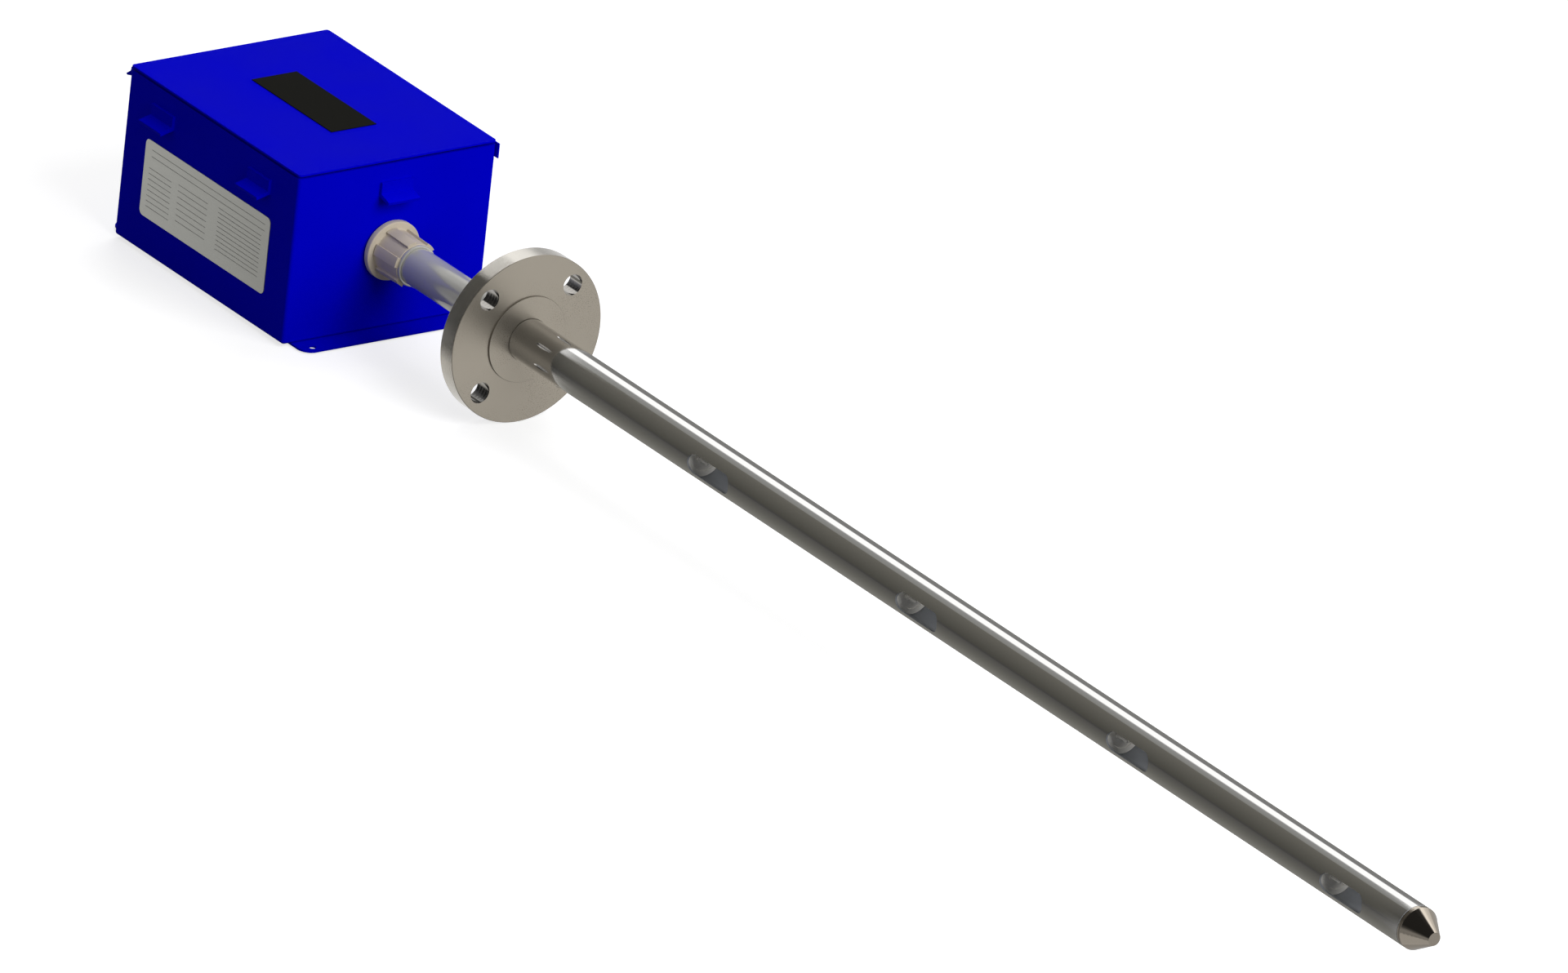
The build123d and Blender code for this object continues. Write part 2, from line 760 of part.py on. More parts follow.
def write_nodes():
    nodes = {
        "enclosure_body": enclosure_body(),
        "front_mounting_foot": mounting_foot(1),
        "rear_mounting_foot": mounting_foot(-1),
        "lid": lid(),
        "lid_gasket": lid_gasket(),
        "hinge_body_leaf": hinge_body_leaf(),
        "hinge_lid_leaf": hinge_lid_leaf(),
        "hinge_pin": hinge_pin(),
        "rear_drip_rail": rear_drip_rail(),
        "rating_plate": rating_plate(),
        "lid_plate": lid_plate(),
        "conduit_hub": conduit_hub(),
        "hub_seal": hub_seal(),
        "hub_locknut": hub_locknut(),
        "pipe_collar": pipe_collar(),
        "extension_pipe": extension_pipe(),
        "process_flange": process_flange(),
        "sensor_tube": sensor_tube(),
        "end_cap": end_cap(),
        "lead_tube": lead_tube(),
        "lead_harness": lead_harness(),
        "panel_studs": panel_studs(),
        "panel_nuts": panel_nuts(),
        "sub_panel": sub_panel(),
        "board_standoffs": board_standoffs(),
        "main_board": main_board(),
        "display_module": display_module(),
        "key_switches": key_switches(),
        "bridge_boards": bridge_boards(),
        "power_supply": power_supply(),
        "signal_terminals": signal_terminals(),
        "power_terminals": power_terminals(),
        "ground_lug": ground_lug(),
    }
    nodes.update(clamp_brackets())
    for number, centre in enumerate(window_centres, start=1):
        nodes[f"sensor_bulkhead_{number}"] = sensor_bulkhead(centre)
        nodes[f"closing_bulkhead_{number}"] = closing_bulkhead(centre)
        nodes[f"heated_sting_{number}"] = sting(centre, -1, sting_length)
        nodes[f"reference_sting_{number}"] = sting(centre, 1, sting_length)
    for number, (x, y) in enumerate(key_places(), start=1):
        nodes[f"menu_key_{number}"] = menu_key(x, y)
    os.makedirs("parts", exist_ok=True)
    for name, shape in nodes.items():
        export_step(shape, f"parts/{name}.step")


write_nodes()
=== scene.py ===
import math

import bmesh
import bpy
from mathutils import Matrix, Vector


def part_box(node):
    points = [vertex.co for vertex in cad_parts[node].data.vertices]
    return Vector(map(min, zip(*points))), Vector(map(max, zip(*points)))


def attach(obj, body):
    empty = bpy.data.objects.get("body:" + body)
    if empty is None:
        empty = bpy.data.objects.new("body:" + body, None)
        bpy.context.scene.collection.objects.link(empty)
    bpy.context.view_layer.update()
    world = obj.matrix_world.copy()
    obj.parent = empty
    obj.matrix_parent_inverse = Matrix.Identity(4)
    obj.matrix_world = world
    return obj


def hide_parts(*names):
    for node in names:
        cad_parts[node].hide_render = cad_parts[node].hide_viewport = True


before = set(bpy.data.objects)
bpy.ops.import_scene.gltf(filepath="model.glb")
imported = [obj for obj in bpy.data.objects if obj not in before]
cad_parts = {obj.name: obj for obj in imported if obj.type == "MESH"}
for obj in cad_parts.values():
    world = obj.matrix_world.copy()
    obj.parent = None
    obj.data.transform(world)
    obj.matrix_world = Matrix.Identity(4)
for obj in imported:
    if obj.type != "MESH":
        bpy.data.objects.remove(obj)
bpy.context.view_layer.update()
scene = bpy.context.scene
scene.view_settings.view_transform = "Standard"


# Camera: a very long lens, high and to the side of the probe, so the picture is nearly parallel.
# It leans a little, because the photograph shows upright edges leaning to the right.
lens_millimetres = 1050.0
looks_back = Vector((0.72959, -0.55855, 0.39462))
picture_right = Vector((0.57051, 0.81528, 0.09916))
picture_up = Vector((-0.37711, 0.15279, 0.91348))
camera = bpy.data.objects.new("studio_camera", bpy.data.cameras.new("studio_camera"))
scene.collection.objects.link(camera)
camera.data.sensor_width = 36.0
camera.data.lens = lens_millimetres
camera.data.clip_start = 1.0
camera.data.clip_end = 90.0
turn = Matrix((picture_right, picture_up, looks_back)).transposed().to_4x4()
camera.matrix_world = Matrix.Translation((28.2621, -21.348, 15.1019)) @ turn
scene.camera = camera


# Room light: a white studio room. The camera and polished steel see it white, and dull surfaces get only a
# low, even fill from it, so that the lamps shape them.
def add_node(owner, kind, inputs, **settings):
    """Adds a node with its settings; an input is a plain value or another node's output."""
    node = owner.node_tree.nodes.new(kind)
    for key, value in settings.items():
        setattr(node, key, value)
    for key, value in inputs.items():
        if isinstance(value, bpy.types.NodeSocket):
            owner.node_tree.links.new(value, node.inputs[key])
        else:
            node.inputs[key].default_value = value
    return node


fill_level = 0.17
room = bpy.data.worlds.new("white_room")
scene.world = room
room.use_nodes = True
rays = add_node(room, "ShaderNodeLightPath", {})
seen = add_node(room, "ShaderNodeMath", {0: rays.outputs["Is Camera Ray"], 1: rays.outputs["Is Glossy Ray"]},
                operation="MAXIMUM")
seen_through = add_node(room, "ShaderNodeMath", {0: seen.outputs[0], 1: rays.outputs["Is Transmission Ray"]},
                        operation="MAXIMUM")
level = add_node(room, "ShaderNodeMapRange",
                 {"Value": seen_through.outputs[0], "To Min": fill_level, "To Max": 1.0})
background = room.node_tree.nodes["Background"]
background.inputs["Color"].default_value = (1.0, 1.0, 1.0, 1.0)
room.node_tree.links.new(level.outputs["Result"], background.inputs["Strength"])


# Lamps: two large soft boxes share the lid, one behind it and one on the tip's side, which also lights the
# front wall. A weak one beside the camera keeps the long wall and its plate readable.
def hang_soft_box(name, direction, distance, width, share):
    """An area lamp aimed at the box; share 1 renders a facing surface in its own colour."""
    lamp = bpy.data.objects.new(name, bpy.data.lights.new(name, "AREA"))
    scene.collection.objects.link(lamp)
    lamp.data.shape = "SQUARE"
    lamp.data.size = width
    lamp.data.energy = share * math.pi ** 2 * distance ** 2
    toward = Vector(direction).normalized()
    lamp.location = toward * distance
    lamp.rotation_mode = "QUATERNION"
    lamp.rotation_quaternion = toward.to_track_quat("Z", "Y")
    lamp.visible_glossy = False


hang_soft_box("behind_soft_box", (-0.35, 0.45, 0.82), 5.0, 3.0, 0.40)
hang_soft_box("tip_side_soft_box", (0.80, 0.12, 0.58), 5.0, 3.6, 1.01)
hang_soft_box("camera_side_soft_box", (0.25, -0.90, 0.35), 6.0, 3.0, 0.08)


# Floor: pale seamless board under the flange's rim. The camera sees it white with the object's soft shadow,
# and to the light it is mid grey, so that it doesn't flood the walls from below.
def srgb(hex_colour):
    """Turns a colour written as sRGB hex to linear."""
    parts = [int(hex_colour[i:i + 2], 16) / 255 for i in (0, 2, 4)]
    linear = [part / 12.92 if part <= 0.04045 else ((part + 0.055) / 1.055) ** 2.4 for part in parts]
    return (*linear, 1.0)


def start_material(name):
    """An empty material, and the place in metres of a point on its own piece, for its pattern."""
    material = bpy.data.materials.new(name)
    material.use_nodes = True
    material.node_tree.nodes.clear()
    place = add_node(material, "ShaderNodeTexCoord", {}).outputs["Object"]
    return material, place


floor_height = -0.0764
bpy.ops.object.select_all(action="DESELECT")
bpy.ops.mesh.primitive_plane_add(size=14.0, location=(0.4, 0.0, floor_height))
floor = bpy.context.object
floor.name = "studio_floor"

# Seamless board: matte and even, so only the soft shadow shows on it.
seamless, _ = start_material("seamless_board")
path = add_node(seamless, "ShaderNodeLightPath", {})
face = add_node(seamless, "ShaderNodeMix",
                {0: path.outputs["Is Camera Ray"], 6: srgb("767676"), 7: srgb("B4B4B4")}, data_type="RGBA")
matte = add_node(seamless, "ShaderNodeBsdfDiffuse", {"Color": face.outputs[2]})
glow = add_node(seamless, "ShaderNodeEmission", {"Color": srgb("FFFFFF"), "Strength": 0.72})
glow_seen = add_node(seamless, "ShaderNodeAddShader", {0: matte.outputs[0], 1: glow.outputs[0]})
board = add_node(seamless, "ShaderNodeMixShader",
                 {0: path.outputs["Is Camera Ray"], 1: matte.outputs[0], 2: glow_seen.outputs[0]})
add_node(seamless, "ShaderNodeOutputMaterial", {"Surface": board.outputs[0]})
floor.data.materials.append(seamless)
floor.visible_glossy = False


# Reflector rings: grey and white cards set round the probe's line that only shining surfaces see. Each ring
# draws the light and dark bands of one stretch: the pipe, the flange's rim, the tube, and the probe's end.
ring_radius = 1.5


def card_ring(name, start, end, strength, card_angles):
    """A ring of cards from start to end along X; each angle, from +Y towards +Z, has its colour."""
    bpy.ops.object.select_all(action="DESELECT")
    bpy.ops.mesh.primitive_cylinder_add(vertices=180, radius=ring_radius, depth=end - start,
                                        end_fill_type="NOTHING",
                                        location=((start + end) / 2, 0.0, 0.0),
                                        rotation=(0.0, math.pi / 2, 0.0))
    ring = bpy.context.object
    ring.name = name
    bpy.ops.object.transform_apply(location=True, rotation=True, scale=True)
    cards, place = start_material(name + "_cards")
    split = add_node(cards, "ShaderNodeSeparateXYZ", {"Vector": place})
    angle = add_node(cards, "ShaderNodeMath", {0: split.outputs["Z"], 1: split.outputs["Y"]},
                     operation="ARCTAN2")
    share = add_node(cards, "ShaderNodeMapRange",
                     {"Value": angle.outputs[0], "From Min": -math.pi, "From Max": math.pi})
    bands = add_node(cards, "ShaderNodeValToRGB", {"Fac": share.outputs["Result"]})
    stops = bands.color_ramp.elements
    while len(stops) < len(card_angles):
        stops.new(0.5)
    for stop, (degrees, colour) in zip(stops, card_angles):
        stop.position = (degrees + 180) / 360
        stop.color = srgb(colour)
    light = add_node(cards, "ShaderNodeEmission", {"Color": bands.outputs["Color"], "Strength": strength})
    add_node(cards, "ShaderNodeOutputMaterial", {"Surface": light.outputs[0]})
    ring.data.materials.append(cards)
    ring.visible_camera = False
    ring.visible_diffuse = False
    ring.visible_transmission = False
    ring.visible_shadow = False


card_ring("pipe_reflector_ring", -1.745, -1.64, 1.1,
          [(-180, "8A8C94"), (-165, "E4E4E4"), (-120, "E4E4E4"), (-60, "B0B1B6"), (20, "9A9CA0"),
           (44, "FFFFFF"), (62, "FFFFFF"), (76, "A2A4A6"), (110, "6C6D70"), (150, "55565C"),
           (180, "8A8C94")])
card_ring("rim_reflector_ring", -1.64, -1.54, 1.3,
          [(-180, "202020"), (-150, "2A2A2A"), (-128, "C0BEBA"), (-40, "D0D0D0"), (20, "B0B0B0"),
           (42, "F0F0F0"), (60, "FFFFFF"), (102, "FFFFFF"), (112, "303030"), (180, "202020")])
card_ring("tube_reflector_ring", -1.54, -0.238, 1.1,
          [(-180, "474641"), (-169, "424140"), (-166, "4D4C4A"), (-120, "63625D"), (-76, "777671"),
           (-34, "7A7874"), (32, "767676"), (35, "DADADA"), (38, "FFFFFF"), (66, "FFFFFF"), (70, "C8C8C8"),
           (73, "8A8A89"), (96, "80807D"), (100, "62605A"), (180, "474641")])
card_ring("end_band_reflector_ring", -0.238, 1.03, 1.2,
          [(-180, "787878"), (-160, "969696"), (-110, "9C9C9C"), (-40, "9C9C9C"), (20, "B0B0B0"),
           (38, "FFFFFF"), (76, "FFFFFF"), (88, "8A8A8A"), (100, "4A4A4A"), (150, "383838"),
           (180, "787878")])
card_ring("cone_reflector_ring", 1.03, 1.50, 1.4,
          [(-180, "7C7C7C"), (-170, "969696"), (-150, "A2A2A2"), (-110, "A2A2A2"), (-60, "BCBCBC"),
           (-20, "D2D2D2"), (34, "D0D0D0"), (46, "E8E8E8"), (50, "FFFFFF"), (61, "FFFFFF"), (65, "7C7C7C"),
           (70, "2C2C2C"), (90, "2C2C2C"), (140, "262626"), (168, "282828"), (175, "484848"),
           (180, "7C7C7C")])
card_ring("face_reflector_ring", 1.50, 2.60, 1.9,
          [(-180, "505050"), (-172, "6C6C6C"), (-140, "5C5C5C"), (-118, "3C3C3C"), (-88, "5C5C5C"),
           (-72, "D0D0D0"), (-55, "F6F6F6"), (-10, "F6F6F6"), (6, "989898"), (24, "3A3A3A"), (56, "262626"),
           (76, "1E1E1E"), (166, "1C1C1C"), (176, "383838"), (180, "505050")])
card_ring("far_reflector_ring", 2.60, 7.00, 1.0,
          [(-180, "484848"), (-90, "606060"), (-60, "B0B0B0"), (-10, "B0B0B0"), (20, "606060"),
           (180, "484848")])


# Enclosure body: 1.9 mm mild steel, folded and welded into a box with an inward rim, then powder coated.
# The coat has a fine orange peel, and the folds show as small soft edges.
def node_corners(node):
    """The low and high corners of a CAD node's box, in millimetres."""
    return [corner * 1000 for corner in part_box(node)]


def block(name, low, high):
    """A cube added between two corners given in millimetres."""
    bpy.ops.object.select_all(action="DESELECT")
    centre = [(a + b) / 2000 for a, b in zip(low, high)]
    bpy.ops.mesh.primitive_cube_add(size=1.0, location=centre)
    piece = bpy.context.object
    piece.name = name
    piece.scale = [(b - a) / 1000 for a, b in zip(low, high)]
    bpy.ops.object.transform_apply(location=True, rotation=True, scale=True)
    return piece


def pick(piece, kind, test):
    """Selects the faces, edges or verts whose middle, in millimetres, passes the test; edit mode."""
    bpy.ops.mesh.select_mode(type={"faces": "FACE", "edges": "EDGE", "verts": "VERT"}[kind])
    bpy.ops.mesh.select_all(action="DESELECT")
    mesh = bmesh.from_edit_mesh(piece.data)
    for item in getattr(mesh, kind):
        corners = [item] if kind == "verts" else item.verts
        middle = sum((corner.co for corner in corners), Vector()) / len(corners) * 1000
        if test(middle):
            item.select_set(True)
    mesh.select_flush_mode()
    bmesh.update_edit_mesh(piece.data)


def apply_modifier(piece, kind, **settings):
    """Gives the piece a modifier with its settings and applies it."""
    modifier = piece.modifiers.new(kind.lower(), kind)
    for key, value in settings.items():
        setattr(modifier, key, value)
    bpy.context.view_layer.objects.active = piece
    bpy.ops.object.modifier_apply(modifier=modifier.name)


def soften(piece, width, segments=2, sharpest=34):
    """Rounds sharp edges by width millimetres and smooths curved faces, flat ones kept flat."""
    if width:
        apply_modifier(piece, "BEVEL", width=width / 1000, segments=segments, limit_method="ANGLE",
                       angle_limit=math.radians(sharpest))
    bpy.ops.object.select_all(action="DESELECT")
    piece.select_set(True)
    bpy.context.view_layer.objects.active = piece
    bpy.ops.object.shade_smooth_by_angle(angle=math.radians(sharpest))
    if width:
        apply_modifier(piece, "WEIGHTED_NORMAL", keep_sharp=True)


def cut_away(piece, cutter):
    """Cuts the cutter's shape out of the piece and removes the cutter."""
    apply_modifier(piece, "BOOLEAN", operation="DIFFERENCE", solver="EXACT", object=cutter)
    bpy.data.objects.remove(cutter)


def coat(piece, material, slot, body, *replaced):
    """Gives a piece its material and hangs it on its body in place of its CAD nodes; the slot is not used."""
    piece.data.materials.clear()
    piece.data.materials.append(material)
    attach(piece, body)
    if replaced:
        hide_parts(*replaced)


def close_material(material, inputs):
    """Ends a material with its surface shader."""
    shader = add_node(material, "ShaderNodeBsdfPrincipled", inputs)
    add_node(material, "ShaderNodeOutputMaterial", {"Surface": shader.outputs[0]})


# Powder coat: a deep blue with hardly any shine, a 1.5 mm orange peel and a film that varies over 70 mm.
powder_coat, place = start_material("blue_powder_coat_on_steel")
peel = add_node(powder_coat, "ShaderNodeTexNoise", {"Vector": place, "Scale": 1000 / 1.5, "Detail": 2.0})
film = add_node(powder_coat, "ShaderNodeTexNoise", {"Vector": place, "Scale": 1000 / 70, "Detail": 3.0})
blue = add_node(powder_coat, "ShaderNodeMix", {0: film.outputs["Fac"], 6: srgb("0000BE"), 7: srgb("0000CC")},
                data_type="RGBA")
gloss = add_node(powder_coat, "ShaderNodeMapRange",
                 {"Value": film.outputs["Fac"], "To Min": 0.46, "To Max": 0.60})
bump = add_node(powder_coat, "ShaderNodeBump",
                {"Height": peel.outputs["Fac"], "Strength": 0.25, "Distance": 0.00008})
close_material(powder_coat, {"Base Color": blue.outputs[2], "Roughness": gloss.outputs["Result"],
                             "Specular IOR Level": 0.008, "Normal": bump.outputs["Normal"]})

body_low, body_high = node_corners("enclosure_body")
sheet, lip_width, lip_corner = 1.9, 12.0, 8.0
upright_fold, floor_fold = 3.0, 2.8
hub_opening_radius = 21.5
enclosure = block("enclosure_body_sheet", body_low, body_high)
bpy.ops.object.mode_set(mode="EDIT")
pick(enclosure, "faces", lambda at: at.z > body_high.z - 0.1)
bpy.ops.mesh.inset(thickness=lip_width / 1000, use_boundary=True)
bpy.ops.mesh.delete(type="ONLY_FACE")
pick(enclosure, "verts", lambda at: at.z > body_high.z - 0.1 and body_low.x + 6 < at.x < body_high.x - 6)
bpy.ops.mesh.bevel(offset=lip_corner / 1000, segments=6, affect="VERTICES")
pick(enclosure, "edges", lambda at: abs(at.z - (body_low.z + body_high.z) / 2) < 1)
bpy.ops.mesh.bevel(offset=upright_fold / 1000, segments=6)
pick(enclosure, "edges", lambda at: at.z < body_low.z + 0.1)
bpy.ops.mesh.bevel(offset=floor_fold / 1000, segments=5)
bpy.ops.mesh.select_all(action="SELECT")
bpy.ops.mesh.remove_doubles(threshold=0.00001)
bpy.ops.mesh.normals_make_consistent(inside=False)
bpy.ops.object.mode_set(mode="OBJECT")
apply_modifier(enclosure, "SOLIDIFY", thickness=sheet / 1000, offset=-1.0, use_even_offset=True)
bpy.ops.object.select_all(action="DESELECT")
bpy.ops.mesh.primitive_cylinder_add(vertices=96, radius=hub_opening_radius / 1000, depth=0.02,
                                    location=(body_high.x / 1000, 0, 0), rotation=(0, math.pi / 2, 0))
cut_away(enclosure, bpy.context.object)
soften(enclosure, 0.4)
coat(enclosure, powder_coat, "blue_paint", "housing", "enclosure_body")


# Mounting feet, clamp brackets and drip rail: strips of the same sheet, punched, bent and welded on before
# the coat, so paint runs over their edges.
def dress_node(name, node, width, material, slot, body="housing", sharpest=34):
    """Softens and coats a merged copy of a CAD node, for a piece whose solid has the real shape."""
    piece = bpy.data.objects.new(name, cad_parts[node].data.copy())
    scene.collection.objects.link(piece)
    bpy.ops.object.select_all(action="DESELECT")
    piece.select_set(True)
    bpy.context.view_layer.objects.active = piece
    bpy.ops.object.mode_set(mode="EDIT")
    bpy.ops.mesh.select_all(action="SELECT")
    bpy.ops.mesh.remove_doubles(threshold=0.000005)
    bpy.ops.mesh.dissolve_limited(angle_limit=math.radians(0.5))
    bpy.ops.object.mode_set(mode="OBJECT")
    soften(piece, width, sharpest=sharpest)
    coat(piece, material, slot, body, node)


for node in ("front_mounting_foot", "rear_mounting_foot"):
    dress_node(node + "_strip", node, 0.35, powder_coat, "blue_paint")
for node in ("side_clamp_bracket_rear", "side_clamp_bracket_front", "front_clamp_bracket",
             "rear_clamp_bracket"):
    dress_node(node + "_strip", node, 0.25, powder_coat, "blue_paint")
dress_node("rear_drip_rail_strip", "rear_drip_rail", 0.4, powder_coat, "blue_paint")


# Lid: a flat cover of the same sheet and coat, over a neoprene strip glued under its edge. The strip is the
# dark seam under the lid.
lid_low, lid_high = node_corners("lid")
lid_corner = 3.0
cover = block("lid_sheet", lid_low, lid_high)
bpy.ops.object.mode_set(mode="EDIT")
pick(cover, "edges", lambda at: abs(at.z - (lid_low.z + lid_high.z) / 2) < 0.1)
bpy.ops.mesh.bevel(offset=lid_corner / 1000, segments=6)
bpy.ops.object.mode_set(mode="OBJECT")
soften(cover, 0.3)
coat(cover, powder_coat, "blue_paint", "lid", "lid")

# Neoprene: a dull black, with open cells 0.9 mm wide that keep it from shining.
neoprene, place = start_material("black_neoprene_strip")
cells = add_node(neoprene, "ShaderNodeTexNoise", {"Vector": place, "Scale": 1000 / 0.9, "Detail": 3.0})
black = add_node(neoprene, "ShaderNodeMix", {0: cells.outputs["Fac"], 6: srgb("0B0B0D"), 7: srgb("1A1A1D")},
                 data_type="RGBA")
bump = add_node(neoprene, "ShaderNodeBump",
                {"Height": cells.outputs["Fac"], "Strength": 0.5, "Distance": 0.0002})
close_material(neoprene, {"Base Color": black.outputs[2], "Roughness": 0.9, "Specular IOR Level": 0.25,
                          "Normal": bump.outputs["Normal"]})
dress_node("lid_seal_strip", "lid_gasket", 0.5, neoprene, "gasket_rubber", "lid")


# Continuous hinge: two thin painted leaves with rolled knuckles that take turns along a drawn steel pin.
# The body leaf is welded to the wall and the lid leaf under the lid.

# Drawn wire: a bright grey, streaked along its length by die lines 0.4 mm apart.
drawn_steel, place = start_material("drawn_stainless_wire")
along = add_node(drawn_steel, "ShaderNodeMapping", {"Vector": place, "Scale": (40.0, 2500.0, 2500.0)})
lines = add_node(drawn_steel, "ShaderNodeTexNoise", {"Vector": along.outputs[0], "Scale": 1.0, "Detail": 2.0})
rough = add_node(drawn_steel, "ShaderNodeMapRange",
                 {"Value": lines.outputs["Fac"], "To Min": 0.22, "To Max": 0.42})
close_material(drawn_steel,
               {"Base Color": srgb("B4B2AC"), "Metallic": 1.0, "Roughness": rough.outputs["Result"]})
dress_node("hinge_body_leaf_rolled", "hinge_body_leaf", 0.0, powder_coat, "blue_paint")
dress_node("hinge_lid_leaf_rolled", "hinge_lid_leaf", 0.0, powder_coat, "blue_paint", "lid")
dress_node("hinge_pin_rolled", "hinge_pin", 0.0, drawn_steel, "pin_steel")


# Plates: a satin anodised aluminium plate with rounded corners on the long wall, with blank ruled fields,
# and a bare black one on the lid. Both are glued flat.

# Satin anodising: a soft grey sheen, with brush lines 0.45 mm apart along the plate.
anodised, place = start_material("satin_anodised_aluminium")
along = add_node(anodised, "ShaderNodeMapping", {"Vector": place, "Scale": (60.0, 1.0, 2200.0)})
lines = add_node(anodised, "ShaderNodeTexNoise", {"Vector": along.outputs[0], "Scale": 1.0, "Detail": 3.0})
silver = add_node(anodised, "ShaderNodeMix", {0: lines.outputs["Fac"], 6: srgb("A5A59F"), 7: srgb("B3B3AD")},
                  data_type="RGBA")
close_material(anodised, {"Base Color": silver.outputs[2], "Metallic": 0.85, "Roughness": 0.30})
plate_low, plate_high = node_corners("rating_plate")
plate_corner = 5.0
plate = block("wall_plate_sheet", plate_low, plate_high)
bpy.ops.object.mode_set(mode="EDIT")
pick(plate, "edges", lambda at: abs(at.y - (plate_low.y + plate_high.y) / 2) < 0.05)
bpy.ops.mesh.bevel(offset=plate_corner / 1000, segments=8)
bpy.ops.object.mode_set(mode="OBJECT")
soften(plate, 0.15)
coat(plate, anodised, "silver_plate", "housing", "rating_plate")

# Screen ink: flat mid grey, with the 0.8 mm mottle of the screen.
printed_grey, place = start_material("screen_printed_grey_ink")
dots = add_node(printed_grey, "ShaderNodeTexNoise", {"Vector": place, "Scale": 1000 / 0.8, "Detail": 2.0})
ink = add_node(printed_grey, "ShaderNodeMix", {0: dots.outputs["Fac"], 6: srgb("5E5E5B"), 7: srgb("787874")},
               data_type="RGBA")
close_material(printed_grey, {"Base Color": ink.outputs[2], "Roughness": 0.6, "Specular IOR Level": 0.2})


def join(name, pieces):
    """Joins the pieces into the first and names it."""
    bpy.ops.object.select_all(action="DESELECT")
    for piece in pieces:
        piece.select_set(True)
    bpy.context.view_layer.objects.active = pieces[0]
    bpy.ops.object.join()
    pieces[0].name = name
    return pieces[0]


rule_width, rule_margin, ink_film = 0.5, 7.0, 0.01
rules = [(10, 62, 176), (10, 56, 176)]
rules += [(8, 45 - 5 * row, 34) for row in range(8)]
rules += [(52, 47 - 5.5 * row, 44) for row in range(7)]
rules += [(112, 50 - 4.2 * row, 64) for row in range(10)]
fields = []
for start, height, length in rules:
    x, z = plate_low.x + start, plate_low.z + height
    fields.append(block("plate_rule", (x, plate_low.y - ink_film, z),
                        (min(x + length, plate_high.x - rule_margin), plate_low.y + 0.2, z + rule_width)))
coat(join("wall_plate_ruled_fields", fields), printed_grey, "silver_plate", "housing")

# Black anodising: a deep, dull black with a trace of brush lines 0.45 mm apart.
black_anodised, place = start_material("black_anodised_aluminium")
along = add_node(black_anodised, "ShaderNodeMapping", {"Vector": place, "Scale": (60.0, 2200.0, 1.0)})
lines = add_node(black_anodised, "ShaderNodeTexNoise",
                 {"Vector": along.outputs[0], "Scale": 1.0, "Detail": 3.0})
dark = add_node(black_anodised, "ShaderNodeMix",
                {0: lines.outputs["Fac"], 6: srgb("0F0F0B"), 7: srgb("151512")}, data_type="RGBA")
close_material(black_anodised, {"Base Color": dark.outputs[2], "Roughness": 0.5, "Specular IOR Level": 0.008})
badge_low, badge_high = node_corners("lid_plate")
badge = block("lid_plate_sheet", badge_low, badge_high)
soften(badge, 0.25)
coat(badge, black_anodised, "black_plate", "lid", "lid_plate")


# Conduit hub: a zinc die casting, tumbled to a soft sheen, with a flat sealing disc, six spanner lugs and a
# threaded nipple through the wall. A rubber ring seals it, and a lobed locknut clamps it from inside.
def turned(name, stations, segments=144, axis=(0.0, 0.0), hollow=False):
    """A turned piece along X: a circle drawn out through each (place, radius), in millimetres."""
    bpy.ops.object.select_all(action="DESELECT")
    if hollow:
        stations = [*stations, stations[0]]
    place, radius = stations[0]
    y, z = axis[0] / 1000, axis[1] / 1000
    bpy.ops.mesh.primitive_circle_add(vertices=segments, radius=radius / 1000, location=(place / 1000, y, z),
                                      rotation=(0.0, math.pi / 2, 0.0))
    piece = bpy.context.object
    piece.name = name
    bpy.ops.object.transform_apply(location=True, rotation=True, scale=True)
    bpy.ops.object.mode_set(mode="EDIT")
    bpy.ops.mesh.select_mode(type="EDGE")
    bpy.ops.mesh.select_all(action="SELECT")
    for next_place, next_radius in stations[1:]:
        step = (next_place - place) / 1000
        bpy.ops.mesh.extrude_region_move(TRANSFORM_OT_translate={"value": (step, 0.0, 0.0)})
        factor = next_radius / radius
        bpy.ops.transform.resize(value=(1.0, factor, factor), center_override=(next_place / 1000, y, z))
        place, radius = next_place, next_radius
    bpy.ops.mesh.select_all(action="SELECT")
    bpy.ops.mesh.remove_doubles(threshold=0.000002)
    if not hollow:
        bpy.ops.mesh.fill_holes(sides=0)
    bpy.ops.mesh.select_all(action="SELECT")
    bpy.ops.mesh.normals_make_consistent(inside=False)
    bpy.ops.object.mode_set(mode="OBJECT")
    return piece


# Die casting: a warm grey in 14 mm clouds, with a 0.9 mm skin that spreads its lights.
cast_zinc, place = start_material("tumbled_zinc_die_casting")
skin = add_node(cast_zinc, "ShaderNodeTexNoise", {"Vector": place, "Scale": 1000 / 0.9, "Detail": 3.0})
cloud = add_node(cast_zinc, "ShaderNodeTexNoise", {"Vector": place, "Scale": 1000 / 14, "Detail": 3.0})
beige = add_node(cast_zinc, "ShaderNodeMix", {0: cloud.outputs["Fac"], 6: srgb("BCB19F"), 7: srgb("C8BDAB")},
                 data_type="RGBA")
bump = add_node(cast_zinc, "ShaderNodeBump",
                {"Height": skin.outputs["Fac"], "Strength": 0.35, "Distance": 0.0002})
close_material(cast_zinc, {"Base Color": beige.outputs[2], "Roughness": 0.55, "Specular IOR Level": 0.25,
                           "Normal": bump.outputs["Normal"]})

